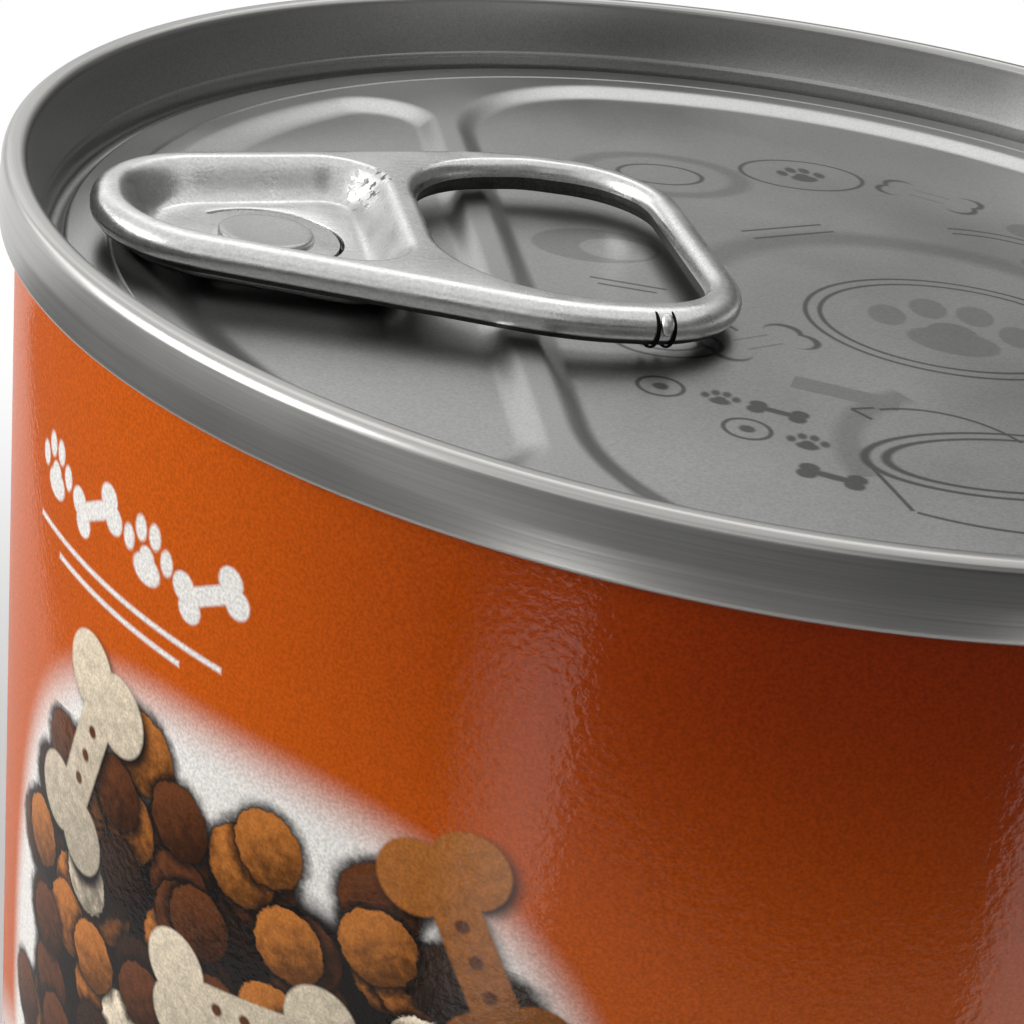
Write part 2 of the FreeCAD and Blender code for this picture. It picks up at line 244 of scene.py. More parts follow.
# Lithographed tinplate: ink over a white ground, under a glossy varnish with a faint
# orange-peel skin.  The fine grain of the dots shows close to; the real 0.06 mm dots
# are drawn at about 0.14 mm, so that they still show.
DOT = 0.14
PEEL = 0.38                 # mm between the bumps of the varnish
HALF_ROUND = math.pi * wall_radius / 2
ROUGHNESS = 0.5             # of the printed ink, under its varnish
WELD_MARGIN = 2.5           # half width left bare down the weld
ROW_AT = -6.9               # heights of the small motifs, down from the wall's top
RULES_AT = (-9.8, -10.7)
FOOT_ROW_AT = -79.0
FOOT_LINE_AT = -91.4
FOOT_BAND_AT = -99.0
FOOT_BAND_HALF = 6.5
INK_ORANGE = linear("#c9590b")
INK_DEEP_AND_SHADE = linear("#8a2c04")
INK_WHITE = linear("#efebe6")
INK_BLACK = linear("#17120f")
INK_COFFEE = linear("#2f1d13")
INK_BROWN = linear("#5b3218")
INK_TAN = linear("#a8662c")
INK_CREAM = linear("#e3d3ba")
HEAP_MIDDLE = (4.5, -40.0)
HEAP_HALF = (17.5, 24.5)
HEAP_SQUARENESS = 2.8       # 2 is an oval
PELLET = 5.4                # spacing of the pieces in each layer of the heap
PELLET_LAYERS = (((0.3, 1.1), 0), ((2.9, 3.6), 33), ((1.4, 5.0), 61), ((4.2, 2.2), 17))
UNEVEN = 0.28               # how far pellets stray from even rows
PELLET_REACH = 0.43         # their radius, as a share of the spacing
PELLET_SHADOW = 0.6         # the same of the shadow round each
BOWL_MIDDLE = -57.0
BOWL_TOP, BOWL_FOOT = -45.0, -68.0
BOWL_HALF = 22.5
SHEEN_THROUGH = 0.08        # share of the metal's sheen that the ink lets through

litho, tree, place_mm = new_material("lithographed_tinplate")
uv = add(tree, "UVMap", uv_map="print")
uv_parts = add(tree, "SeparateXYZ", {0: uv}).node
across = add(tree, "Math", {0: uv_parts.outputs[0], 1: -HALF_ROUND, 2: HALF_ROUND}, operation="WRAP")
print_at = add(tree, "CombineXYZ", {0: across, 1: uv_parts.outputs[1]})

# ground colour: orange, run down to a deeper red under the seam on the right: partly a deeper ink, partly
# painted shade under the seam and away from the key light
to_right = add(tree, "MapRange", {"Value": across, "From Min": -4.0, "From Max": 26.0},
               interpolation_type="SMOOTHSTEP")
to_seam = add(tree, "MapRange", {"Value": uv_parts.outputs[1], "From Min": -21.0, "From Max": -1.0},
              interpolation_type="SMOOTHSTEP")
to_repeat = add(tree, "MapRange", {"Value": across, "From Min": 55.0, "From Max": 37.0},
                interpolation_type="SMOOTHSTEP")
# mask of the deeper ink and the painted shade
deep = add(tree, "Math", {0: to_right, 1: to_repeat}, operation="MULTIPLY")
deep = add(tree, "Math", {0: deep, 1: to_seam}, operation="MULTIPLY")
colour = lay(tree, INK_ORANGE, INK_DEEP_AND_SHADE, deep)


def heap_reach(tree, at):
    """How far out a place is in the heap: 1 at its rounded outline."""
    off = shares(tree, at, HEAP_MIDDLE, HEAP_HALF)
    off = add(tree, "SeparateXYZ", {0: add(tree, "VectorMath", {0: off}, operation="ABSOLUTE")}).node
    powers = [add(tree, "Math", {0: off.outputs[i], 1: HEAP_SQUARENESS}, operation="POWER") for i in (0, 1)]
    return add(tree, "Math", {0: powers[0], 1: powers[1]}, operation="ADD")


def pellets(tree, ground, at, shift, turn, spacing, crumb):
    """Lays one loose layer of round pellets, each lit from the upper left, over its own shadow."""
    own = moved(tree, at, shift, turn)
    cells = add(tree, "TexVoronoi", {"Vector": own, "Scale": 1 / spacing, "Randomness": UNEVEN},
                voronoi_dimensions="2D").node
    middle = add(tree, "Mapping", {"Vector": cells.outputs["Position"], "Location": (*shift, 0),
                                   "Rotation": (0, 0, math.radians(turn))}, vector_type="POINT")
    inside = add(tree, "Math", {0: heap_reach(tree, middle), 1: 1.0}, operation="LESS_THAN")
    rough = add(tree, "Math", {0: crumb, 1: 0.14, 2: cells.outputs["Distance"]}, operation="MULTIPLY_ADD")
    shadow = add(tree, "MapRange", {"Value": rough, "From Min": PELLET_SHADOW, "From Max": PELLET_REACH},
                 interpolation_type="SMOOTHSTEP")
    shadow = add(tree, "Math", {0: inside, 1: shadow}, operation="MULTIPLY")
    mask = add(tree, "MapRange", {"Value": rough, "From Min": PELLET_REACH + 0.03, "From Max": PELLET_REACH},
               interpolation_type="SMOOTHSTEP")
    mask = add(tree, "Math", {0: inside, 1: mask}, operation="MULTIPLY")
    draw = add(tree, "SeparateColor", {0: cells.outputs["Color"]}).node
    inks = add(tree, "ValToRGB", {0: draw.outputs[0]})
    share = inks.node.color_ramp
    share.interpolation = "CONSTANT"
    share.elements[0].color = INK_COFFEE
    share.elements[-1].color = INK_CREAM
    share.elements[-1].position = 0.9
    for stop, ink in ((0.3, INK_BROWN), (0.62, INK_TAN)):
        share.elements.new(stop).color = ink
    lean = add(tree, "VectorMath", {0: at, 1: middle}, operation="SUBTRACT")
    lean = add(tree, "VectorMath", {0: lean, 1: (-0.6 / spacing, 0.95 / spacing, 0)}, out="Value",
               operation="DOT_PRODUCT")
    lean = add(tree, "Math", {0: crumb, 1: 1.1, 2: lean}, operation="MULTIPLY_ADD")
    lit = add(tree, "MapRange", {"Value": lean, "From Min": 0.1, "From Max": 1.0, "To Min": 0.3,
                                 "To Max": 1.35}, interpolation_type="SMOOTHSTEP")
    ink = add(tree, "VectorMath", {0: inks, "Scale": lit}, operation="SCALE")
    return lay(tree, lay(tree, ground, INK_BLACK, shadow), ink, mask)


# brown band and cream line at the foot, and the bare metal margin down the weld, with the
# weld's darker line in its middle
for ink, middle, half in ((INK_BROWN, FOOT_BAND_AT, FOOT_BAND_HALF), (INK_CREAM, FOOT_LINE_AT, 0.3)):
    colour = lay(tree, colour, ink, block(tree, print_at, (0, middle), (HALF_ROUND + 1, half)))
weld_mm = math.radians(WELD_AT - FRONT_AT) * wall_radius
full_round = 2 * math.pi * wall_radius
from_weld = add(tree, "Math", {0: uv_parts.outputs[0], 1: weld_mm}, operation="SUBTRACT")
from_weld = add(tree, "Math", {0: from_weld, 1: full_round / 2}, operation="PINGPONG")
bare = add(tree, "MapRange", {"Value": from_weld, "From Min": WELD_MARGIN + 0.1,
                              "From Max": WELD_MARGIN - 0.1})
seam_line = add(tree, "MapRange", {"Value": from_weld, "From Min": 0.5, "From Max": 0.2})
bare_metal = lay(tree, linear("#b9b7b2"), linear("#6f6c6a"), seam_line)
colour = lay(tree, colour, bare_metal, bare)
ground = colour

# soft white glow behind the heap and the bowl
glow = add(tree, "MapRange", {"Value": heap_reach(tree, print_at), "From Min": 1.55, "From Max": 1.1},
           interpolation_type="SMOOTHSTEP")
glow = together(tree, [glow, oval(tree, print_at, (HEAP_MIDDLE[0], -55.5), (30.5, 18.5), 2.0)])
colour = lay(tree, colour, INK_WHITE, glow)

# heap of mixed pellets, four layers deep
crumb = add(tree, "TexNoise", {"Vector": print_at, "Scale": 1.6, "Detail": 4.0, "Roughness": 0.6})
core = add(tree, "MapRange", {"Value": heap_reach(tree, print_at), "From Min": 0.82, "From Max": 0.7})
colour = lay(tree, colour, INK_BLACK, core)
for layer, (shift, turn) in enumerate(PELLET_LAYERS):
    colour = pellets(tree, colour, print_at, shift, turn, PELLET - 0.25 * layer, crumb)

# pale biscuit bones standing in the heap
for centre, length, turn, ink in (((-6.0, -18.8), 12.0, 70.0, INK_CREAM),
                                  ((15.5, -17.5), 11.0, -62.0, INK_TAN),
                                  ((5.6, -25.5), 11.5, 12.0, INK_CREAM)):
    colour = lay(tree, colour, INK_BLACK, bone(tree, print_at, (centre[0] + 0.3, centre[1] - 0.35),
                                               length * 1.04, turn, 0.45))
    off = add(tree, "VectorMath", {0: print_at, 1: (*centre, 0)}, operation="SUBTRACT")
    lean = add(tree, "VectorMath", {0: off, 1: (-0.03, 0.05, 0)}, out="Value", operation="DOT_PRODUCT")
    lean = add(tree, "Math", {0: crumb, 1: 0.9, 2: lean}, operation="MULTIPLY_ADD")
    baked = add(tree, "MapRange", {"Value": lean, "From Min": 0.2, "From Max": 0.75, "To Min": 0.55,
                                   "To Max": 1.08})
    biscuit = add(tree, "VectorMath", {0: ink[:3], "Scale": baked}, operation="SCALE")
    colour = lay(tree, colour, biscuit, bone(tree, print_at, centre, length, turn))
    dents = [oval(tree, moved(tree, print_at, centre, turn), (x, 0), (0.3, 0.3)) for x in (-1.6, 0, 1.6)]
    colour = lay(tree, colour, INK_BROWN, together(tree, dents))

# charcoal bowl with a white paw
parts = add(tree, "SeparateXYZ", {0: print_at}).node
taper = add(tree, "MapRange", {"Value": parts.outputs[1], "From Min": BOWL_FOOT, "From Max": BOWL_TOP,
                               "To Min": 1.22, "To Max": 1.0})
bowl_x = add(tree, "Math", {0: parts.outputs[0], 1: HEAP_MIDDLE[0]}, operation="SUBTRACT")
bowl_x = add(tree, "Math", {0: bowl_x, 1: taper}, operation="MULTIPLY")
bowl_at = add(tree, "CombineXYZ", {0: bowl_x, 1: parts.outputs[1]})
bowl = block(tree, bowl_at, (0, (BOWL_TOP + BOWL_FOOT) / 2), (BOWL_HALF, (BOWL_TOP - BOWL_FOOT) / 2))
sheen = add(tree, "MapRange", {"Value": bowl_x, "From Min": 2.0, "From Max": -13.0},
            interpolation_type="SMOOTHSTEP")
colour = lay(tree, colour, lay(tree, INK_BLACK, linear("#4b423c"), sheen), bowl)
rim = block(tree, bowl_at, (0, BOWL_TOP), (BOWL_HALF + 0.9, 0.8))
colour = lay(tree, colour, linear("#5f554e"), rim)
colour = lay(tree, colour, INK_WHITE, paw(tree, print_at, (HEAP_MIDDLE[0], BOWL_MIDDLE), 13.0))

# row of small white paws and bones over two rules above the picture, three paws below
row = [block(tree, print_at, (-4.4, y), (half, 0.13)) for y, half in zip(RULES_AT, (7.3, 4.9))]
row += [paw(tree, print_at, (x, ROW_AT), 3.5) for x in (-9.9, -1.9)]
row += [bone(tree, print_at, (x, ROW_AT), 4.2, 28.0) for x in (-5.9, 2.0)]
foot_row = [paw(tree, print_at, (x, FOOT_ROW_AT), 7.0) for x in (-9.5, 4.5, 18.5)]

dots = add(tree, "TexNoise", {"Vector": place_mm, "Scale": 1 / DOT, "Detail": 1.0})
dots = add(tree, "MapRange", {"Value": dots, "From Min": 0.3, "From Max": 0.7, "To Min": 0.84,
                              "To Max": 1.16})
peel = add(tree, "TexNoise", {"Vector": place_mm, "Scale": 1 / PEEL, "Detail": 2.0})
peel = add(tree, "Bump", {"Height": peel, "Strength": 0.5, "Distance": 0.03 * MM})
fine = add(tree, "TexNoise", {"Vector": place_mm, "Scale": 1 / (DOT * 1.6), "Detail": 1.0})
skin = add(tree, "Bump", {"Height": fine, "Strength": 0.4, "Distance": 0.012 * MM, "Normal": peel})
metal_share = add(tree, "MapRange", {"Value": bare, "To Min": SHEEN_THROUGH, "To Max": 1.0})


def varnished(tree, ink):
    """The print's surface, in that colour."""
    grained = add(tree, "VectorMath", {0: ink, "Scale": dots}, operation="SCALE")
    return add(tree, "BsdfPrincipled", {
        "Base Color": grained, "Metallic": metal_share, "Roughness": ROUGHNESS, "Normal": skin,
        "Coat Weight": 0.4, "Coat Roughness": 0.1, "Coat Normal": skin, "Specular IOR Level": 0.0})


# Each part of the print has its own shader, so that a ray works out only the part it meets.
EXACT = 0.0005              # mm; edge of a part, too thin to see
row_print = lay(tree, ground, INK_WHITE, together(tree, row))
foot_print = lay(tree, ground, INK_WHITE, together(tree, foot_row))
surface = varnished(tree, ground)
for ink, centre, half in ((colour, (4.5, -43.2), (32.0, 31.9)),
                          (row_print, (-4.0, -7.5), (9.5, 3.6)),
                          (foot_print, (4.5, FOOT_ROW_AT), (20.0, 3.8))):
    part = block(tree, print_at, centre, half, EXACT)
    surface = add(tree, "MixShader", {0: part, 1: surface, 2: varnished(tree, ink)})
add(tree, "OutputMaterial", {"Surface": surface})
printed_wall.data.materials.append(litho)

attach(printed_wall, "root")
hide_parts("can_body")

# ---------------------------------------------------------------------------------------
# Bottom end.  A disc of lacquered tinplate pressed with a chuck wall, a groove and two
# stepped rings, and folded over the wall's edge into a double seam.
# ---------------------------------------------------------------------------------------
SEAM_THICKNESS = 1.25
SEAM_HEIGHT = 3.05
CROWN = 0.45                # radius of the seam's rolled top
SKIRT = 0.3                 # radius of its lower corner
GROOVE = 0.45
FOLD = 0.25
CHUCK_LEAN = 0.7
GROOVE_DROP = 0.3
SHEET = 0.22
BASE_PANEL = 3.6
BASE_BEADS = (29.0, 21.0)
BEAD_RISE = 0.55
BEAD_SLOPE = 1.2

seam_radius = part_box("bottom_end")[1].x / MM
chuck_top = seam_radius - SEAM_THICKNESS
chuck_foot = chuck_top - CHUCK_LEAN
panel_edge = chuck_foot - 2 * GROOVE


def bend(centre, radius, start, end, steps=8):
    """Points of an arc in a section, as (radius, height); angles in degrees from outwards."""
    angles = [math.radians(start + (end - start) * i / steps) for i in range(steps + 1)]
    return [(centre[0] + radius * math.cos(a), centre[1] + radius * math.sin(a)) for a in angles]


def end_section(panel):
    """Outer face of an end, from the panel's edge to the wall, heights down from the crown."""
    groove_at = (chuck_foot - GROOVE, -panel - GROOVE_DROP)
    return (bend((panel_edge - FOLD, -panel - FOLD), FOLD, 90, 0, 6)
            + bend(groove_at, GROOVE, 180, 360, 14)
            + [(chuck_foot + 0.03, -panel + 0.42), (chuck_foot + 0.05, -panel + 0.62),
               (chuck_foot + 0.13, -panel + 0.70), (chuck_foot + 0.16, -panel + 0.78)]
            + [(chuck_top - 0.02, -0.75)]
            + bend((chuck_top + CROWN, -CROWN), CROWN, 180, 90, 10)
            + bend((seam_radius - 0.1 - CROWN, -CROWN), CROWN, 90, 5, 10)
            + [(seam_radius - 0.06, -0.9), (seam_radius - 0.01, -1.45), (seam_radius, -1.6),
               (seam_radius, -1.8), (seam_radius - 0.02, -2.45)]
            + bend((seam_radius - 0.03 - SKIRT, -SEAM_HEIGHT + SKIRT), SKIRT, 0, -90, 6)
            + [(wall_radius - 0.1, -SEAM_HEIGHT)])


def end_back(panel):
    """Inner face of an end, back from the wall to under the panel's edge."""
    back = GROOVE + SHEET
    groove_at = (chuck_foot - GROOVE, -panel - GROOVE_DROP)
    return ([(chuck_foot + SHEET + 0.2, -SEAM_HEIGHT)]
            + bend(groove_at, back, 360, 180, 10)[:-1]
            + [(panel_edge - SHEET, -panel - GROOVE_DROP - 0.12)])


bead_section = []
for i, edge in enumerate(BASE_BEADS):
    level = BASE_PANEL + i * BEAD_RISE
    for step in range(9):
        t = step / 8
        bead_section.append((edge - BEAD_SLOPE * t, -level - BEAD_RISE * (3 * t * t - 2 * t ** 3)))
section = [(r, -z) for r, z in reversed(bead_section)] + [(r, -z) for r, z in end_section(BASE_PANEL)]
plain_end = turned("plain_end", section + [(r, -z) for r, z in end_back(BASE_PANEL)]
                   + [(12.0, BASE_PANEL + 2 * BEAD_RISE + SHEET)], close="cap")
pick(plain_end, "EDGE", lambda p: math.hypot(p.x, p.y) < BASE_BEADS[1] - BEAD_SLOPE + 0.01
     and p.z < BASE_PANEL + 2 * BEAD_RISE + SHEET / 2)
bpy.ops.mesh.edge_face_add()
finished(plain_end, 50)

# Lacquered tinplate: satin, with the fine grain of the rolled sheet.  The seam is brighter
# and carries the fine lines that the seaming rolls leave round it.
GRAIN = 0.13                # mm; the sheet's real grain is finer, and would not show
ROLL_LINE = 0.09            # mm between the lines on the seam
CELLS_X = (-13.0, -3.5, 11.0, 21.5, 40.0)    # cells that printed signs are sorted into
CELLS_Y = (-27.0, -12.0, -1.0, 10.5, 20.5, 40.0)


def lacquered_tin(name, sheet_hex, seam_hex, roughness, seam_from_rim, marks=None):
    """Satin tinplate whose outer ring, `seam_from_rim` mm wide, is the bright rolled seam.
    `marks` lays the signs printed in one cell of the panel over the sheet's colour."""
    made, tree, place = new_material(name)
    parts = add(tree, "SeparateXYZ", {0: place}).node
    flat = add(tree, "CombineXYZ", {0: parts.outputs[0], 1: parts.outputs[1]})
    radius = add(tree, "VectorMath", {0: flat}, out="Value", operation="LENGTH")
    angle = add(tree, "Math", {0: parts.outputs[1], 1: parts.outputs[0]}, operation="ARCTAN2")
    ring = add(tree, "MapRange", {"Value": radius, "From Min": seam_radius - seam_from_rim - 0.1,
                                  "From Max": seam_radius - seam_from_rim + 0.1})
    round_at = add(tree, "CombineXYZ", {
        0: add(tree, "Math", {0: angle, 1: 2.5}, operation="MULTIPLY"),
        1: add(tree, "Math", {0: radius, 1: 1 / ROLL_LINE}, operation="MULTIPLY"),
        2: add(tree, "Math", {0: parts.outputs[2], 1: 1 / ROLL_LINE}, operation="MULTIPLY")})
    lines = add(tree, "TexNoise", {"Vector": round_at, "Scale": 1.0, "Detail": 3.0, "Roughness": 0.65})
    grain = add(tree, "TexNoise", {"Vector": place, "Scale": 1 / GRAIN, "Detail": 2.0})
    cloud = add(tree, "TexNoise", {"Vector": place, "Scale": 0.12, "Detail": 2.0})
    relief = add(tree, "Mix", {0: ring, 2: grain, 3: lines}, data_type="FLOAT")
    tone = add(tree, "MapRange", {"Value": relief, "From Min": 0.25, "From Max": 0.75, "To Min": 0.86,
                                  "To Max": 1.14})
    sheet = lay(tree, linear(sheet_hex), linear(seam_hex), ring)
    dull = add(tree, "MapRange", {"Value": cloud, "From Min": 0.3, "From Max": 0.7,
                                  "To Min": roughness - 0.03, "To Max": roughness + 0.04})
    bump = add(tree, "Bump", {"Height": relief, "Strength": 0.35, "Distance": 0.01 * MM})

    def satin(colour):
        """The sheet's surface, in that colour."""
        grained = add(tree, "VectorMath", {0: colour, "Scale": tone}, operation="SCALE")
        return add(tree, "BsdfPrincipled", {
            "Base Color": grained, "Metallic": 1.0, "Roughness": dull, "Normal": bump,
            "Coat Weight": 0.15, "Coat Roughness": 0.2})

    surface = satin(sheet)
    # each cell has its own shader, so that a ray works out only the signs that it meets
    for west, east in zip(CELLS_X, CELLS_X[1:]) if marks else ():
        column = satin(sheet)
        for south, north in zip(CELLS_Y, CELLS_Y[1:]):
            above = add(tree, "Math", {0: parts.outputs[1], 1: south}, operation="GREATER_THAN")
            printed = marks(tree, flat, sheet, (west, south, east, north))
            column = add(tree, "MixShader", {0: above, 1: column, 2: satin(printed)})
        beside = add(tree, "Math", {0: parts.outputs[0], 1: west}, operation="GREATER_THAN")
        surface = add(tree, "MixShader", {0: beside, 1: surface, 2: column})
    add(tree, "OutputMaterial", {"Surface": surface})
    return made


end_tin = lacquered_tin("lacquered_tinplate", "#a9a9a8", "#b4b3b1", 0.33, SEAM_THICKNESS)
plain_end.data.materials.append(end_tin)
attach(plain_end, "root")
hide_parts("bottom_end")

# ---------------------------------------------------------------------------------------
# Easy-open end.  The same lacquered tinplate, seamed on top.  Its panel is stamped with
# two shallow recesses that leave a straight rib between them, a fine score all round, and
# a low boss that the rivet is drawn from.
# ---------------------------------------------------------------------------------------
TOP_PANEL = 4.05
SCORE_IN = 2.05             # score line, in from the panel's edge
RECESS_IN = 3.15            # recesses, in from the panel's edge
RECESS_SLOPE = 2.0
RECESS_DEPTH = 0.45
RIB_AT = -14.45
RIB_WIDTH = 0.9
RIB_SLOPE = 1.3
RIB_SKEW = math.radians(-2.7)
RING_SIDE_CORNER = 12.0
NOSE_SIDE_CORNER = 3.5
BOSS_RADIUS = 2.8
BOSS_FLARE = 0.9
TAB_NOSE = 8.1              # rivet to the tip of the tab's nose
TAB_TILT = math.radians(1.72)
CURL_DEPTH = 2.7            # seam crown to the middle of the tab's curl, at the rivet
WEB_TOP = -1.0              # web's upper face from the middle of the curl
WEB_THICKNESS = 0.5

can_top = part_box("top_end")[1].z / MM
tab_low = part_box("pull_tab")[0]
rivet_x = tab_low.x / MM + TAB_NOSE * math.cos(TAB_TILT)
panel_z = can_top - TOP_PANEL
floor_z = panel_z - RECESS_DEPTH
score_radius = panel_edge - SCORE_IN


def ease(t):
    """Smooth step from 0 to 1."""
    t = min(1.0, max(0.0, t))
    return 3 * t * t - 2 * t ** 3


def loops(name, rings):
    """One mesh drawn out from the first ring of points through each of the others."""
    count = len(rings[0])
    mesh = bpy.data.meshes.new(name)
    mesh.from_pydata([Vector(p) * MM for p in rings[0]], [(i, (i + 1) % count) for i in range(count)], [])
    piece = bpy.data.objects.new(name, mesh)
    bpy.context.scene.collection.objects.link(piece)
    alone(piece)
    bpy.ops.object.mode_set(mode="EDIT")
    bpy.ops.mesh.select_mode(type="EDGE")
    bpy.ops.mesh.select_all(action="SELECT")
    for last, ring in zip(rings, rings[1:]):
        bpy.ops.mesh.extrude_region_move()
        nearest = KDTree(count)
        for i, point in enumerate(last):
            nearest.insert(Vector(point) * MM, i)
        nearest.balance()
        for vert in bmesh.from_edit_mesh(mesh).verts:
            if vert.select:
                vert.co = Vector(ring[nearest.find(vert.co)[1]]) * MM
        bmesh.update_edit_mesh(mesh)
    bpy.ops.object.mode_set(mode="OBJECT")
    return piece


def joined(pieces):
    """Joins pieces into the first and merges the rings that they share."""
    bpy.ops.object.select_all(action="DESELECT")
    for piece in pieces:
        piece.select_set(True)
    bpy.context.view_layer.objects.active = pieces[0]
    bpy.ops.object.join()
    bpy.ops.object.mode_set(mode="EDIT")
    bpy.ops.mesh.select_all(action="SELECT")
    bpy.ops.mesh.remove_doubles(threshold=0.002 * MM)
    return pieces[0]


def recess_ring(side, chord, corner, t):
    """Outline of a recess `t` of the way down its slope: part of a disc, its corners rounded."""
    radius = panel_edge - RECESS_IN - RECESS_SLOPE * t
    chord = chord + side * RIB_SLOPE * t
    corner = corner - RIB_SLOPE * t
    centre_x = chord + side * corner
    centre_y = math.sqrt((radius - corner) ** 2 - centre_x ** 2)
    turn = math.atan2(centre_y, centre_x * side)
    z = panel_z - RECESS_DEPTH * ease(t)
    ring = []
    for i in range(120):
        a = -turn + 2 * turn * i / 120
        ring.append((side * radius * math.cos(a), radius * math.sin(a)))
    for i in range(28):
        a = turn + (math.pi - turn) * i / 28
        ring.append((side * (side * centre_x + corner * math.cos(a)), centre_y + corner * math.sin(a)))
    for i in range(24):
        ring.append((chord, centre_y - 2 * centre_y * i / 24))
    for i in range(28):
        a = math.pi + (math.pi - turn) * i / 28
        ring.append((side * (side * centre_x + corner * math.cos(a)), -centre_y + corner * math.sin(a)))
    c, s = math.cos(RIB_SKEW), math.sin(RIB_SKEW)
    return [(x * c - y * s, x * s + y * c, z) for x, y in ring]


def circle(centre, radius, z, count):
    """Ring of points round an upright axis."""
    angles = [2 * math.pi * i / count for i in range(count)]
    return [(centre[0] + radius * math.cos(a), centre[1] + radius * math.sin(a), z) for a in angles]


slope_steps = [-0.07] + [i / 12 for i in range(13)] + [1.07]
ring_side = (1, RIB_AT + RIB_WIDTH / 2, RING_SIDE_CORNER)
nose_side = (-1, RIB_AT - RIB_WIDTH / 2, NOSE_SIDE_CORNER)
recesses = [loops("recess", [recess_ring(*which, t) for t in slope_steps])
            for which in (ring_side, nose_side)]
boss_top = can_top - CURL_DEPTH + WEB_TOP - WEB_THICKNESS
boss_rings = [circle((rivet_x, 0), BOSS_RADIUS + BOSS_FLARE + 0.1, floor_z, 96)]
for i in range(9):
    boss_rings.append(circle((rivet_x, 0), BOSS_RADIUS + BOSS_FLARE * (1 - i / 8),
                             floor_z + (boss_top - floor_z) * ease(i / 8), 96))
boss = loops("boss", boss_rings)

score = [(score_radius - 0.14, panel_z), (score_radius - 0.1, panel_z), (score_radius - 0.05, panel_z - 0.03),
         (score_radius, panel_z - 0.08), (score_radius + 0.05, panel_z - 0.03),
         (score_radius + 0.1, panel_z + 0.02), (score_radius + 0.16, panel_z + 0.01),
         (score_radius + 0.24, panel_z)]
section = score + [(r, can_top + z) for r, z in end_section(TOP_PANEL)]
rim_part = turned("easy_open_end", section + [(r, can_top + z) for r, z in end_back(TOP_PANEL)]
                  + [(14.0, floor_z - SHEET)], close="cap")
bpy.ops.object.mode_set(mode="OBJECT")
easy_open_end = joined([rim_part] + recesses + [boss])
pick(easy_open_end, "EDGE", lambda p: abs(p.z - panel_z) < 0.003 and (
    abs(math.hypot(p.x, p.y) - score[0][0]) < 0.01 or math.hypot(p.x, p.y) < panel_edge - RECESS_IN + 0.2))
shape = bmesh.from_edit_mesh(easy_open_end.data)
for edge in shape.edges:
    edge.select = edge.select and edge.is_boundary
bpy.ops.mesh.fill(use_beauty=True)


def choose_boundary(test):
    """Selects the open edges whose two ends pass the test."""
    shape = bmesh.from_edit_mesh(bpy.context.object.data)
    bpy.ops.mesh.select_all(action="DESELECT")
    for edge in shape.edges:
        edge.select = edge.is_boundary and all(test(v.co / MM) for v in edge.verts)
    bmesh.update_edit_mesh(bpy.context.object.data)


choose_boundary(lambda p: abs(p.z - floor_z) < 0.003 and p.x < RIB_AT)
bpy.ops.mesh.fill(use_beauty=True)
choose_boundary(lambda p: abs(p.z - floor_z) < 0.003 and p.x > RIB_AT - 2.0)
bpy.ops.mesh.edge_face_add()
choose_boundary(lambda p: abs(p.z - boss_top) < 0.003)
bpy.ops.mesh.edge_face_add()
finished(easy_open_end, 50)


def hoop(tree, at, centre, radii, width):
    """Outline of an oval."""
    span = add(tree, "VectorMath", {0: shares(tree, at, centre, radii)}, out="Value", operation="LENGTH")
    off = add(tree, "Math", {0: span, 1: 1.0}, operation="SUBTRACT")
    off = add(tree, "Math", {0: off}, operation="ABSOLUTE")
    half = width / 2 / min(radii)
    return add(tree, "MapRange", {"Value": off, "From Min": half * 1.5, "From Max": half * 0.5})


def sweep(tree, at, centre, radius, width, middle, half):
    """Part of a round line: `half` degrees each way from the direction `middle`."""
    own = moved(tree, at, centre, middle)
    parts = add(tree, "SeparateXYZ", {0: own}).node
    angle = add(tree, "Math", {0: parts.outputs[1], 1: parts.outputs[0]}, operation="ARCTAN2")
    angle = add(tree, "Math", {0: angle}, operation="ABSOLUTE")
    kept = add(tree, "Math", {0: angle, 1: math.radians(half)}, operation="LESS_THAN")
    return add(tree, "Math", {0: kept, 1: hoop(tree, own, (0, 0), (radius, radius), width)},
               operation="MULTIPLY")


def line(tree, at, start, end, width):
    """A straight line."""
    length = math.dist(start, end)
    turn = math.degrees(math.atan2(end[1] - start[1], end[0] - start[0]))
    middle = ((start[0] + end[0]) / 2, (start[1] + end[1]) / 2)
    return block(tree, moved(tree, at, middle, turn), (0, 0), (length / 2, width / 2), 0.05)


def without(tree, mask, hole):
    """A mask with another one cut out of it."""
    rest = add(tree, "Math", {0: 1.0, 1: hole}, operation="SUBTRACT")
    return add(tree, "Math", {0: mask, 1: rest}, operation="MULTIPLY")


# Opening signs, printed in grey on the ring side of the lid: a bowl, rings and pull arrows,
# with paws, bones and rules between them.
PEN = 0.2


def crescent(tree, at, centre, radii):
    """A fat crescent."""
    return without(tree, oval(tree, at, centre, radii),
                   oval(tree, at, (centre[0] + 1.0, centre[1] - 0.4), (radii[0] * 0.58, radii[1] * 0.62)))


def bone_outline(tree, at, centre, length, turn):
    """Pen outline of a bone."""
    return without(tree, bone(tree, at, centre, length, turn), bone(tree, at, centre, length * 0.88, turn))


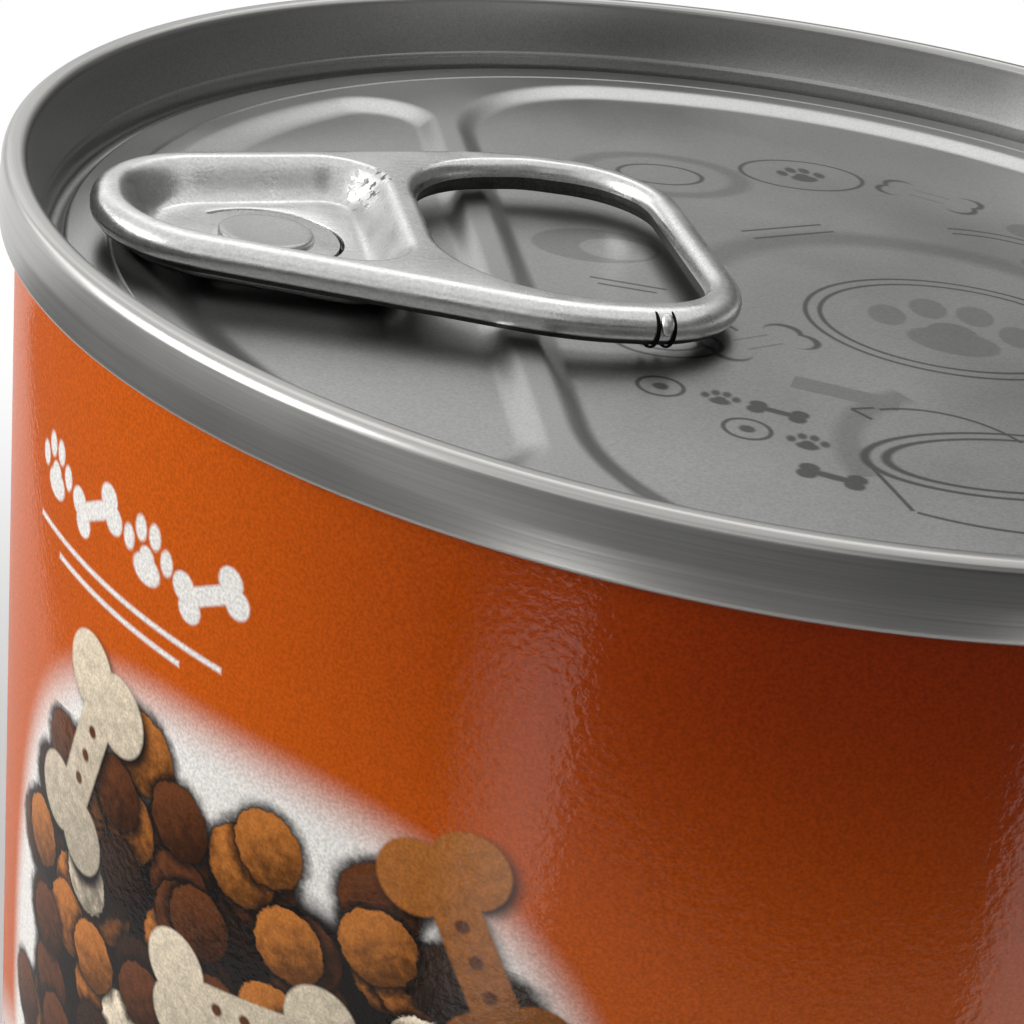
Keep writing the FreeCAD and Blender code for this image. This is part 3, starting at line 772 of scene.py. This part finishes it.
# Each sign: how far it reaches from its first point, what draws it, and its place and size.
FIELD_SIGNS = [(4.8, paw, (7.0, -5.5), 8.5, -20.0), (12.6, sweep, (6.0, -5.0), 11.5, 1.9, 80.0, 62.0),
               (9.0, sweep, (5.0, -21.0), 8.2, 1.2, 150.0, 35.0), (3.5, crescent, (-8.6, 3.4), (3.3, 2.4)),
               (4.6, bone, (17.5, 6.5), 8.0, 75.0), (5.3, hoop, (-2.2, 15.5), (4.6, 3.4), 0.9),
               (5.0, line, (-3.3, -12.5), (0.9, -14.7), 1.4)]
PEN_SIGNS = [(6.9, hoop, (4.0, -20.3), (6.6, 3.1), PEN), (6.0, hoop, (4.0, -20.3), (5.7, 2.5), PEN),
             (4.2, line, (-2.6, -20.6), (-2.2, -24.6), PEN), (4.2, line, (10.6, -20.6), (10.2, -24.6), PEN),
             (12.1, sweep, (4.0, -14.6), 11.8, PEN, -90.0, 31.0),
             (4.7, sweep, (1.0, -19.4), 4.4, PEN, 62.0, 44.0),
             (1.4, line, (-1.5, -15.2), (-0.4, -15.0), PEN), (1.4, line, (-1.5, -15.2), (-0.9, -16.2), PEN),
             (2.9, hoop, (-8.0, -8.6), (2.5, 1.8), PEN), (1.9, hoop, (-8.0, -8.6), (1.5, 1.0), PEN),
             (4.0, sweep, (-7.6, -8.2), 3.6, PEN, 70.0, 50.0),
             (1.4, line, (-9.8, -5.3), (-8.7, -5.1), PEN), (1.4, line, (-9.8, -5.3), (-9.2, -6.3), PEN),
             (1.4, paw, (-4.6, -18.7), 1.9, -20.0), (1.8, bone, (-4.6, -21.8), 2.8, -30.0),
             (1.4, paw, (-7.2, -14.6), 1.8, -20.0), (1.7, bone, (-5.0, -15.8), 2.6, -30.0),
             (2.8, hoop, (-2.2, 15.5), (2.4, 1.7), PEN), (4.0, hoop, (6.6, 17.0), (3.6, 2.6), PEN),
             (1.8, paw, (6.6, 17.0), 3.0, 0.0), (7.0, hoop, (7.2, -5.2), (6.6, 5.4), PEN),
             (7.7, hoop, (7.2, -5.2), (7.3, 6.1), PEN), (6.8, sweep, (12.5, 2.0), 6.4, PEN, 30.0, 60.0),
             (7.6, sweep, (12.5, 2.0), 7.2, PEN, 30.0, 60.0), (4.0, line, (-9.9, -1.0), (-6.4, -2.2), PEN),
             (3.2, line, (-9.7, -1.8), (-7.0, -2.7), PEN), (5.6, line, (0.0, 6.8), (5.0, 8.6), PEN),
             (5.6, line, (0.4, 5.8), (5.4, 7.6), PEN), (7.2, line, (16.0, -14.0), (19.5, -8.0), PEN),
             (7.2, line, (17.0, -14.6), (20.5, -8.6), PEN), (3.8, bone_outline, (-3.6, -8.2), 6.0, 24.0),
             (4.0, bone_outline, (13.5, -16.0), 6.5, 60.0), (3.8, bone_outline, (13.5, 14.5), 6.0, -40.0)]
for button in ((-6.9, -17.6), (-9.6, -13.6)):
    PEN_SIGNS += [(1.3, hoop, button, (1.0, 1.0), PEN), (0.5, oval, button, (0.35, 0.35))]


def lid_signs(tree, at, ground, cell):
    """Lays the signs that reach into one cell over the ground: pale fields first, then the pen."""
    for signs, share, ink in ((FIELD_SIGNS, 0.5, linear("#6a6a69")), (PEN_SIGNS, 0.8, linear("#353534"))):
        masks = [draw(tree, at, spot, *sizes) for reach, draw, spot, *sizes in signs
                 if cell[0] - reach < spot[0] < cell[2] + reach
                 and cell[1] - reach < spot[1] < cell[3] + reach]
        if masks:
            mask = add(tree, "Math", {0: together(tree, masks), 1: share}, operation="MULTIPLY")
            ground = lay(tree, ground, ink, mask)
    return ground


lid_tin = lacquered_tin("lacquered_tinplate_printed", "#a3a3a2", "#adaca9", 0.31, SEAM_THICKNESS, lid_signs)
easy_open_end.data.materials.append(lid_tin)
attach(easy_open_end, "root")
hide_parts("top_end")

# ---------------------------------------------------------------------------------------
# Rivet.  Drawn up out of the panel's own metal, passed through the tab's web and struck
# flat into a low button.
# ---------------------------------------------------------------------------------------
HEAD_RADIUS = 2.25
HEAD_THICKNESS = 0.3
STEM_RADIUS = 1.7


def seated(piece):
    """Carries a piece from the tab's own frame, rivet at the origin, to its place on the lid."""
    alone(piece)
    piece.rotation_euler = (0, TAB_TILT, 0)
    piece.location = Vector((rivet_x, 0, can_top - CURL_DEPTH)) * MM
    bpy.ops.object.transform_apply(location=True, rotation=True, scale=True)
    return piece


head_section = ([(0.5, WEB_TOP + HEAD_THICKNESS - 0.05), (1.1, WEB_TOP + HEAD_THICKNESS - 0.045),
                 (1.6, WEB_TOP + HEAD_THICKNESS - 0.02), (1.9, WEB_TOP + HEAD_THICKNESS)]
                + bend((HEAD_RADIUS - 0.2, WEB_TOP + HEAD_THICKNESS - 0.2), 0.2, 80, -30, 8)
                + [(HEAD_RADIUS - 0.12, WEB_TOP - 0.02), (STEM_RADIUS, WEB_TOP - 0.03),
                   (STEM_RADIUS, WEB_TOP - WEB_THICKNESS - 0.02)])
rivet = turned("rivet", head_section, close="cap", facets=96)
pick(rivet, "EDGE", lambda p: math.hypot(p.x, p.y) < 0.51)
bpy.ops.mesh.edge_face_add()
finished(rivet, 50)
seated(rivet)
rivet.data.materials.append(end_tin)
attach(rivet, "root")
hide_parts("top_end")

# ---------------------------------------------------------------------------------------
# Pull tab.  Stamped from thicker strip, its edges curled under into a round rim; a soft
# pocket is pressed in round the rivet, and a slot cut round three sides of the rivet
# leaves a tongue for the tab to hinge on.
# ---------------------------------------------------------------------------------------
TAB_TAIL = 21.4
HALF_THICK = 0.85
CURL_OUT = 0.95             # how far in the outer roll reaches
CURL_IN = 0.6               # the same round the finger hole
POCKET_LIP = 0.5
POCKET_FALL = 1.35
PAN_UNDER = WEB_TOP - WEB_THICKNESS
OUTER = ((-TAB_NOSE, 5.12, 6.5), (12.3, 11.24, 13.6), (TAB_TAIL, 10.6, 6.0))
HOLE = ((7.4, 7.6, 6.2), (14.1, 9.3, 4.15), (19.75, 8.5, 4.15))
POCKET = ((-6.45, 3.89, 4.7), (5.75, 7.55, 2.5))
SLOT_RADIUS = 3.65
SLOT_WIDTH = 0.2
SLOT_END = math.radians(135)
TAB_GRAIN = 0.15            # mm; drawn coarser than it is, so that it shows
OUTER_SHADE = -0.42         # below this the outer roll is the strip's turned-in back: duller, and painted dark as painted shade
BORE_SHADE = -0.05          # the same round the finger hole


def outline(half_corners, arc_steps, run_steps):
    """Closed outline, mirrored about X, through rounded corners: (point, outward normal) pairs."""
    corners = list(half_corners) + [(x, -y, r) for x, y, r in reversed(half_corners)]
    count = len(corners)
    spots = [Vector((x, y)) for x, y, _ in corners]
    trail = []
    for i, (_, _, radius) in enumerate(corners):
        back = (spots[i - 1] - spots[i]).normalized()
        ahead = (spots[(i + 1) % count] - spots[i]).normalized()
        half = back.angle(ahead) / 2
        centre = spots[i] + (back + ahead).normalized() * radius / math.sin(half)
        start = (spots[i] + back * radius / math.tan(half) - centre).normalized()
        end = (spots[i] + ahead * radius / math.tan(half) - centre).normalized()
        swing = start.angle_signed(end)
        for k in range(arc_steps + 1):
            a = -swing * k / arc_steps
            normal = Vector((start.x * math.cos(a) - start.y * math.sin(a),
                             start.x * math.sin(a) + start.y * math.cos(a)))
            trail.append((centre + normal * radius, normal))
        following = corners[(i + 1) % count]
        next_back = (spots[i] - spots[(i + 1) % count]).normalized()
        next_ahead = (spots[(i + 2) % count] - spots[(i + 1) % count]).normalized()
        next_half = next_back.angle(next_ahead) / 2
        run_end = spots[(i + 1) % count] + next_back * following[2] / math.tan(next_half)
        run_start, normal = trail[-1]
        for k in range(1, run_steps):
            trail.append((run_start + (run_end - run_start) * k / run_steps, normal))
    return trail


def offset_ring(trail, out, z):
    """The outline moved outwards by `out`, at height z."""
    return [(p.x + n.x * out, p.y + n.y * out, z) for p, n in trail]


def roll(reach, top, bottom, steps=9):
    """Round edge as (offset, height) pairs, from its top inner line over to its bottom one."""
    over = [(reach * math.sin(math.radians(90 * i / steps)), top * math.cos(math.radians(90 * i / steps)))
            for i in range(steps + 1)]
    under = [(reach * math.cos(math.radians(90 * i / steps)), bottom * math.sin(math.radians(90 * i / steps)))
             for i in range(1, steps + 1)]
    under[2] = (under[2][0] - 0.02, under[2][1])
    under[3] = (under[3][0] - 0.07, under[3][1])
    return [(offset - reach, z) for offset, z in over + under]


def slot_ring(spread, z):
    """Outline of the C-shaped slot, widened by `spread`."""
    outer = SLOT_RADIUS + spread
    inner = SLOT_RADIUS - SLOT_WIDTH - spread
    middle = SLOT_RADIUS - SLOT_WIDTH / 2
    tip = SLOT_END + (SLOT_WIDTH / 2 + spread) / middle
    angles = [-SLOT_END + 2 * SLOT_END * i / 90 for i in range(91)]
    ring = [(outer * math.cos(a), outer * math.sin(a), z) for a in angles]
    ring.append((middle * math.cos(tip), middle * math.sin(tip), z))
    ring += [(inner * math.cos(a), inner * math.sin(a), z) for a in reversed(angles)]
    ring.append((middle * math.cos(tip), -middle * math.sin(tip), z))
    return ring


outer_trail = outline(OUTER, 40, 44)
hole_trail = outline(HOLE, 32, 24)
pocket_trail = outline(POCKET, 28, 30)
outer_roll = roll(CURL_OUT, HALF_THICK, -HALF_THICK)
hole_roll = roll(CURL_IN, HALF_THICK, -HALF_THICK)
rim_rows = loops("pull_tab_rim", [offset_ring(outer_trail, d, z) for d, z in outer_roll])
hole_rows = loops("pull_tab_hole", [offset_ring(hole_trail, -d, z) for d, z in hole_roll])
pocket_steps = [(POCKET_LIP + 0.08, HALF_THICK)]
for i in range(17):
    t = i / 16
    pocket_steps.append((POCKET_LIP - (POCKET_LIP + POCKET_FALL) * t,
                         HALF_THICK + (WEB_TOP - HALF_THICK) * ease(t)))
pocket_steps.append((-POCKET_FALL - 0.1, WEB_TOP))
pocket_rows = loops("pull_tab_pocket", [offset_ring(pocket_trail, d, z) for d, z in pocket_steps])
pan_steps = [(0.45, -HALF_THICK), (0.4, -HALF_THICK - 0.25), (0.15, PAN_UNDER + 0.12), (-0.15, PAN_UNDER)]
pan_rows = loops("pull_tab_pan", [offset_ring(pocket_trail, d, z) for d, z in pan_steps])
slot_rows = loops("pull_tab_slot", [slot_ring(0.07, WEB_TOP), slot_ring(0.02, WEB_TOP - 0.02),
                                    slot_ring(0, WEB_TOP - 0.07), slot_ring(0, PAN_UNDER)])
pull_tab = joined([rim_rows, hole_rows, pocket_rows, pan_rows, slot_rows])
pull_tab.name = "pull_tab_ring"
for level in (HALF_THICK, -HALF_THICK, WEB_TOP, PAN_UNDER):
    choose_boundary(lambda p: abs(p.z - level) < 0.003)
    bpy.ops.mesh.fill(use_beauty=True)
finished(pull_tab, 50)
# faces on the rolls' lower sides take the second slot, painted dark as painted shade
for trail, reach, shade_below in ((outer_trail, CURL_OUT, OUTER_SHADE), (hole_trail, CURL_IN, BORE_SHADE)):
    nearest = KDTree(len(trail))
    for i, (point, _) in enumerate(trail):
        nearest.insert(point.to_3d(), i)
    nearest.balance()
    for face in pull_tab.data.polygons:
        spot = face.center / MM
        if spot.z < shade_below and nearest.find((spot.x, spot.y, 0))[2] < reach + 0.05:
            face.material_index = 1
seated(pull_tab)

# Tab strip: satin metal, with a coarser mottled grain along the roll and a few deep pits
# in one pocket corner.
tab_tin, tree, place = new_material("satin_tab_strip")
grain = add(tree, "TexNoise", {"Vector": place, "Scale": 1 / TAB_GRAIN, "Detail": 4.0, "Roughness": 0.65})
drawn = add(tree, "VectorMath", {0: place, 1: (0.9, 3.2, 3.2)}, operation="MULTIPLY")
drawn = add(tree, "TexNoise", {"Vector": drawn, "Scale": 1.6, "Detail": 3.0, "Roughness": 0.6})
cloud = add(tree, "TexNoise", {"Vector": place, "Scale": 0.4, "Detail": 2.0})
both = add(tree, "Mix", {0: 0.35, 2: grain, 3: drawn}, data_type="FLOAT")
tone = add(tree, "MapRange", {"Value": both, "From Min": 0.3, "From Max": 0.7, "To Min": 0.78,
                              "To Max": 1.18})
PITS_AT = (-19.9, 4.7, 107.4)
pit_ground = add(tree, "VectorMath", {0: place, 1: PITS_AT}, operation="DISTANCE", out="Value")
pit_ground = add(tree, "MapRange", {"Value": pit_ground, "From Min": 1.7, "From Max": 0.7})
pits = add(tree, "TexNoise", {"Vector": place, "Scale": 2.3, "Detail": 2.0})
pits = add(tree, "MapRange", {"Value": pits, "From Min": 0.55, "From Max": 0.6})
pits = add(tree, "Math", {0: pits, 1: pit_ground}, operation="MULTIPLY")
metal = add(tree, "VectorMath", {0: linear("#cfcfce")[:3], "Scale": tone}, operation="SCALE")
# the pits are painted dark: painted shade in the dents
metal = lay(tree, metal, linear("#5a5a59"), pits)
dull = add(tree, "MapRange", {"Value": cloud, "From Min": 0.35, "From Max": 0.7, "To Min": 0.22,
                              "To Max": 0.36})
relief = add(tree, "Math", {0: pits, 1: -4.0, 2: both}, operation="MULTIPLY_ADD")
bump = add(tree, "Bump", {"Height": relief, "Strength": 0.5, "Distance": 0.02 * MM})
surface = add(tree, "BsdfPrincipled", {"Base Color": metal, "Metallic": 1.0, "Roughness": dull,
                                       "Normal": bump})
add(tree, "OutputMaterial", {"Surface": surface})
pull_tab.data.materials.append(tab_tin)

# The turned-in back of the strip: the same metal, but dull, and painted dark as painted shade under the
# rolls.
roll_shade_material, tree, place = new_material("painted_roll_shade")
grain = add(tree, "TexNoise", {"Vector": place, "Scale": 1 / TAB_GRAIN, "Detail": 3.0})
tone = add(tree, "MapRange", {"Value": grain, "From Min": 0.3, "From Max": 0.7, "To Min": 0.7, "To Max": 1.3})
metal = add(tree, "VectorMath", {0: linear("#4a4a49")[:3], "Scale": tone}, operation="SCALE")
surface = add(tree, "BsdfPrincipled", {"Base Color": metal, "Metallic": 1.0, "Roughness": 0.55})
add(tree, "OutputMaterial", {"Surface": surface})
pull_tab.data.materials.append(roll_shade_material)
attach(pull_tab, "root")
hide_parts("pull_tab")

# ---------------------------------------------------------------------------------------
# End of the curl.  The strip's two cut edges meet on the ring's outer side: a dark slit
# each side of a bright pinched bead, rolled in with the rim.  The slits' dark is painted shade.
# ---------------------------------------------------------------------------------------
CURL_END_AT = Vector((16.4, -10.8))
SLIT = 0.07
SLIT_SINK = 0.09            # lowered so that the slits run out before the roll's top
SLITS_AT = (-0.42, 0.36)    # along the rim from the bead
BEAD_RADIUS = 0.34
BEAD_SHAPE = (0.95, 1.5, 0.85)
BEAD_SUNK = 0.06
BEAD_UP = math.radians(26)  # how far up the roll the bead lies

curl_spot, curl_out = min(outer_trail, key=lambda step: (step[0] - CURL_END_AT).length)
curl_out = curl_out.to_3d()
curl_along = Vector((-curl_out.y, curl_out.x, 0))
curl_middle = curl_spot.to_3d() - curl_out * CURL_OUT
slits = []
for shift in SLITS_AT:
    bpy.ops.object.select_all(action="DESELECT")
    bpy.ops.mesh.primitive_torus_add(major_segments=64, minor_segments=10, major_radius=CURL_OUT * MM,
                                     minor_radius=SLIT * MM)
    slit = bpy.context.object
    slit.scale = (HALF_THICK / CURL_OUT, 1.0, 1.4)
    slit.rotation_euler = Vector((0, 0, 1)).rotation_difference(curl_along).to_euler()
    slit.location = (curl_middle + curl_along * shift + curl_out * SLIT_SINK / 3
                     - Vector((0, 0, SLIT_SINK))) * MM
    bpy.ops.object.transform_apply(location=True, rotation=True, scale=True)
    slits.append(slit)
curl_slits = joined(slits)
curl_slits.name = "curl_slits"
finished(curl_slits)
seated(curl_slits)
# near-black with a faint mottle: painted shade in the slits
shade, tree, place = new_material("shadowed_cut_edge")
slit_shade = add(tree, "TexNoise", {"Vector": place, "Scale": 6.0})
slit_shade = add(tree, "MapRange", {"Value": slit_shade, "To Min": 0.6, "To Max": 1.4})
slit_shade = add(tree, "VectorMath", {0: linear("#161616")[:3], "Scale": slit_shade}, operation="SCALE")
surface = add(tree, "BsdfPrincipled", {"Base Color": slit_shade, "Metallic": 1.0, "Roughness": 0.6})
add(tree, "OutputMaterial", {"Surface": surface})
curl_slits.data.materials.append(shade)

bpy.ops.object.select_all(action="DESELECT")
bpy.ops.mesh.primitive_uv_sphere_add(segments=32, ring_count=20, radius=BEAD_RADIUS * MM)
curl_bead = bpy.context.object
curl_bead.name = "curl_bead"
curl_bead.scale = BEAD_SHAPE
bead_run = Vector((0, 0, math.cos(BEAD_UP))) - curl_out * math.sin(BEAD_UP)
curl_bead.rotation_euler = Vector((0, 1, 0)).rotation_difference(bead_run).to_euler()
curl_bead.location = (curl_middle + curl_out * math.cos(BEAD_UP) * (CURL_OUT - BEAD_SUNK)
                      + Vector((0, 0, math.sin(BEAD_UP) * (HALF_THICK - BEAD_SUNK)))) * MM
bpy.ops.object.transform_apply(location=True, rotation=True, scale=True)
finished(curl_bead)
seated(curl_bead)
curl_bead.data.materials.append(tab_tin)
for piece in (curl_slits, curl_bead):
    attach(piece, "root")
    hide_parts("pull_tab")

# ---------------------------------------------------------------------------------------
# Studio.  A pale table that fades to white, a large softbox on the left with a soft
# overhead behind, and graded cards that only mirrors show: broad ones for the metal, two
# narrow ones for the soft upright bands on the varnish, and one for the seam's near side.
# ---------------------------------------------------------------------------------------
FADE_FROM, FADE_TO = 85.0, 240.0       # mm from the can, where the table turns white
ROOM_LIGHT = 0.28


def seen_directly(tree):
    """1 for rays that see the backdrop, straight or in a mirror, and 0 for its light."""
    path = tree.nodes.new("ShaderNodeLightPath")
    return together(tree, [path.outputs["Is Camera Ray"], path.outputs["Is Glossy Ray"],
                           path.outputs["Is Transmission Ray"]])


bpy.ops.object.select_all(action="DESELECT")
bpy.ops.mesh.primitive_plane_add(size=6.0, location=(0, 0, 0))
table = bpy.context.object
table.name = "studio_table"
table_white, tree, place = new_material("studio_table_white")
parts = add(tree, "SeparateXYZ", {0: place}).node
flat = add(tree, "CombineXYZ", {0: parts.outputs[0], 1: parts.outputs[1]})
away = add(tree, "VectorMath", {0: flat}, out="Value", operation="LENGTH")
away = add(tree, "MapRange", {"Value": away, "From Min": FADE_FROM, "From Max": FADE_TO},
           interpolation_type="SMOOTHSTEP")
white_share = add(tree, "Math", {0: away, 1: seen_directly(tree)}, operation="MULTIPLY")
cloth = add(tree, "BsdfDiffuse", {"Color": linear("#e9e9e8")})
white = add(tree, "Emission", {"Color": (1, 1, 1, 1), "Strength": 1.0})
add(tree, "OutputMaterial", {"Surface": add(tree, "MixShader", {0: white_share, 1: cloth, 2: white})})
table.data.materials.append(table_white)

world = bpy.data.worlds.new("studio")
world.use_nodes = True
bpy.context.scene.world = world
tree = world.node_tree
tree.nodes.clear()
soft = add(tree, "Background", {"Color": (1, 1, 1, 1), "Strength": ROOM_LIGHT})
white = add(tree, "Background", {"Color": (1, 1, 1, 1), "Strength": 1.0})
add(tree, "OutputWorld", {"Surface": add(tree, "MixShader", {0: seen_directly(tree), 1: soft, 2: white})})


def softbox(name, place, aim, width, height, radiance):
    """A soft lamp of that size in mm, lit evenly to that radiance."""
    lamp = bpy.data.lights.new(name, "AREA")
    lamp.shape = "RECTANGLE"
    lamp.size = width * MM
    lamp.size_y = height * MM
    lamp.energy = radiance * math.pi * lamp.size * lamp.size_y
    holder = bpy.data.objects.new(name, lamp)
    bpy.context.scene.collection.objects.link(holder)
    holder.location = Vector(place) * MM
    holder.rotation_euler = (Vector(aim) - Vector(place)).to_track_quat("-Z", "Y").to_euler()
    holder.visible_camera = False
    return holder


softbox("key_left", (-640, 40, 330), (0, 0, 90), 420, 420, 6.4)
softbox("overhead_back", (60, 420, 620), (0, 0, 100), 500, 400, 0.9)


def card(name, spot, across, up, levels_across, levels_up, radiance):
    """A card that only mirrors show, from its middle and two half sides in mm.  Its radiance
    is graded along both of its sides, through (share of the way, level) stops."""
    spot, across, up = Vector(spot), Vector(across), Vector(up)
    bpy.ops.object.select_all(action="DESELECT")
    bpy.ops.mesh.primitive_plane_add(size=2.0)
    made = bpy.context.object
    made.name = name
    for corner in made.data.vertices:
        corner.co = (spot + across * corner.co.x + up * corner.co.y) * MM
    paint, tree, place = new_material(name)
    grades = []
    for way, levels in ((across, levels_across), (up, levels_up)):
        off = add(tree, "VectorMath", {0: place, 1: spot - way}, operation="SUBTRACT")
        share = add(tree, "VectorMath", {0: off, 1: way / (2 * way.length_squared)}, out="Value",
                    operation="DOT_PRODUCT")
        grades.append(add(tree, "ValToRGB", {0: share}))
        ramp = grades[-1].node.color_ramp
        ramp.interpolation = "EASE"
        for i, (stop, level) in enumerate(levels):
            mark = ramp.elements[i] if i < 2 else ramp.elements.new(stop)
            mark.position = stop
            mark.color = (level, level, level, 1)
    both = add(tree, "VectorMath", {0: grades[0], 1: grades[1]}, operation="MULTIPLY")
    glow = add(tree, "Emission", {"Color": both, "Strength": radiance})
    add(tree, "OutputMaterial", {"Surface": glow})
    made.data.materials.append(paint)
    made.visible_camera = made.visible_diffuse = made.visible_shadow = made.visible_transmission = False


EVEN = ((0, 1), (1, 1))
card("card_front", (0, -640, 500), (1100, 0, 0), (0, 0, 620),
     ((0, 0.8), (1, 0.7), (0.4, 0.8), (0.55, 0.25), (0.8, 0.3)),
     ((0, 0.15), (1, 0.55), (0.17, 0.15), (0.21, 0.4), (0.25, 0.06), (0.33, 0.06), (0.4, 0.95)), 1.35)
card("card_table", (0, -395, 1), (620, 0, 0), (0, 240, 0), ((0, 1), (1, 0.5)), EVEN, 0.2)
card("card_left", (-430, 35, 1), (300, 0, 0), (0, 188, 0), EVEN, EVEN, 0.22)
card("card_right", (640, 0, 300), (0, 640, 0), (0, 0, 320), EVEN, EVEN, 0.16)
card("card_back", (100, 700, 360), (900, 0, 0), (0, 0, 250),
     ((0, 1), (1, 0.1), (0.33, 1), (0.45, 0.62), (0.58, 0.27), (0.67, 0.12)),
     ((0, 0.35), (1, 0.5), (0.3, 0.6), (0.45, 1.0), (0.57, 1.0), (0.75, 0.9)), 1.6)
card("card_back_left", (-520, 430, 330), (170, 200, 0), (0, 0, 150), ((0, 0.3), (1, 0.3), (0.3, 1), (0.7, 1)),
     ((0, 0.3), (1, 0.3), (0.3, 1), (0.7, 1)), 2.2)
card("band_left", (-93.7, -98, 22), (14.0, -15.6, 0), (0, 0, 30), ((0, 0), (1, 1), (0.75, 1)),
     ((0, 1), (1, 0), (0.85, 1)), 2.6)
card("band_right", (58, -119, 22), (17.0, 10.5, 0), (0, 0, 30), ((0, 0), (1, 1), (0.3, 1)),
     ((0, 1), (1, 0), (0.85, 1)), 2.6)
card("card_seam", (-108, -84, 66), (30.0, -38.0, 0), (0, 0, 12), ((0, 0), (1, 0), (0.35, 1), (0.65, 1)),
     ((0, 0), (1, 1), (0.3, 1)), 0.65)

CAMERA_AT = Vector((-34.83, -90.73, 139.476))
CAMERA_LOOK = Vector((0.21928, 0.86519, -0.45095))
CAMERA_ROLL = 0.1398        # radians, the camera's own lean
LENS_LENGTH = 72.37
SENSOR_WIDTH = 36.0
lens = bpy.data.cameras.new("camera")
lens.lens = LENS_LENGTH
lens.sensor_width = SENSOR_WIDTH
lens.clip_start = 0.005
camera = bpy.data.objects.new("camera", lens)
bpy.context.scene.collection.objects.link(camera)
camera.location = CAMERA_AT * MM
camera.rotation_euler = CAMERA_LOOK.to_track_quat("-Z", "Y").to_euler()
camera.rotation_euler.rotate_axis("Z", CAMERA_ROLL)
bpy.context.scene.camera = camera
bpy.context.scene.view_settings.view_transform = "Standard"
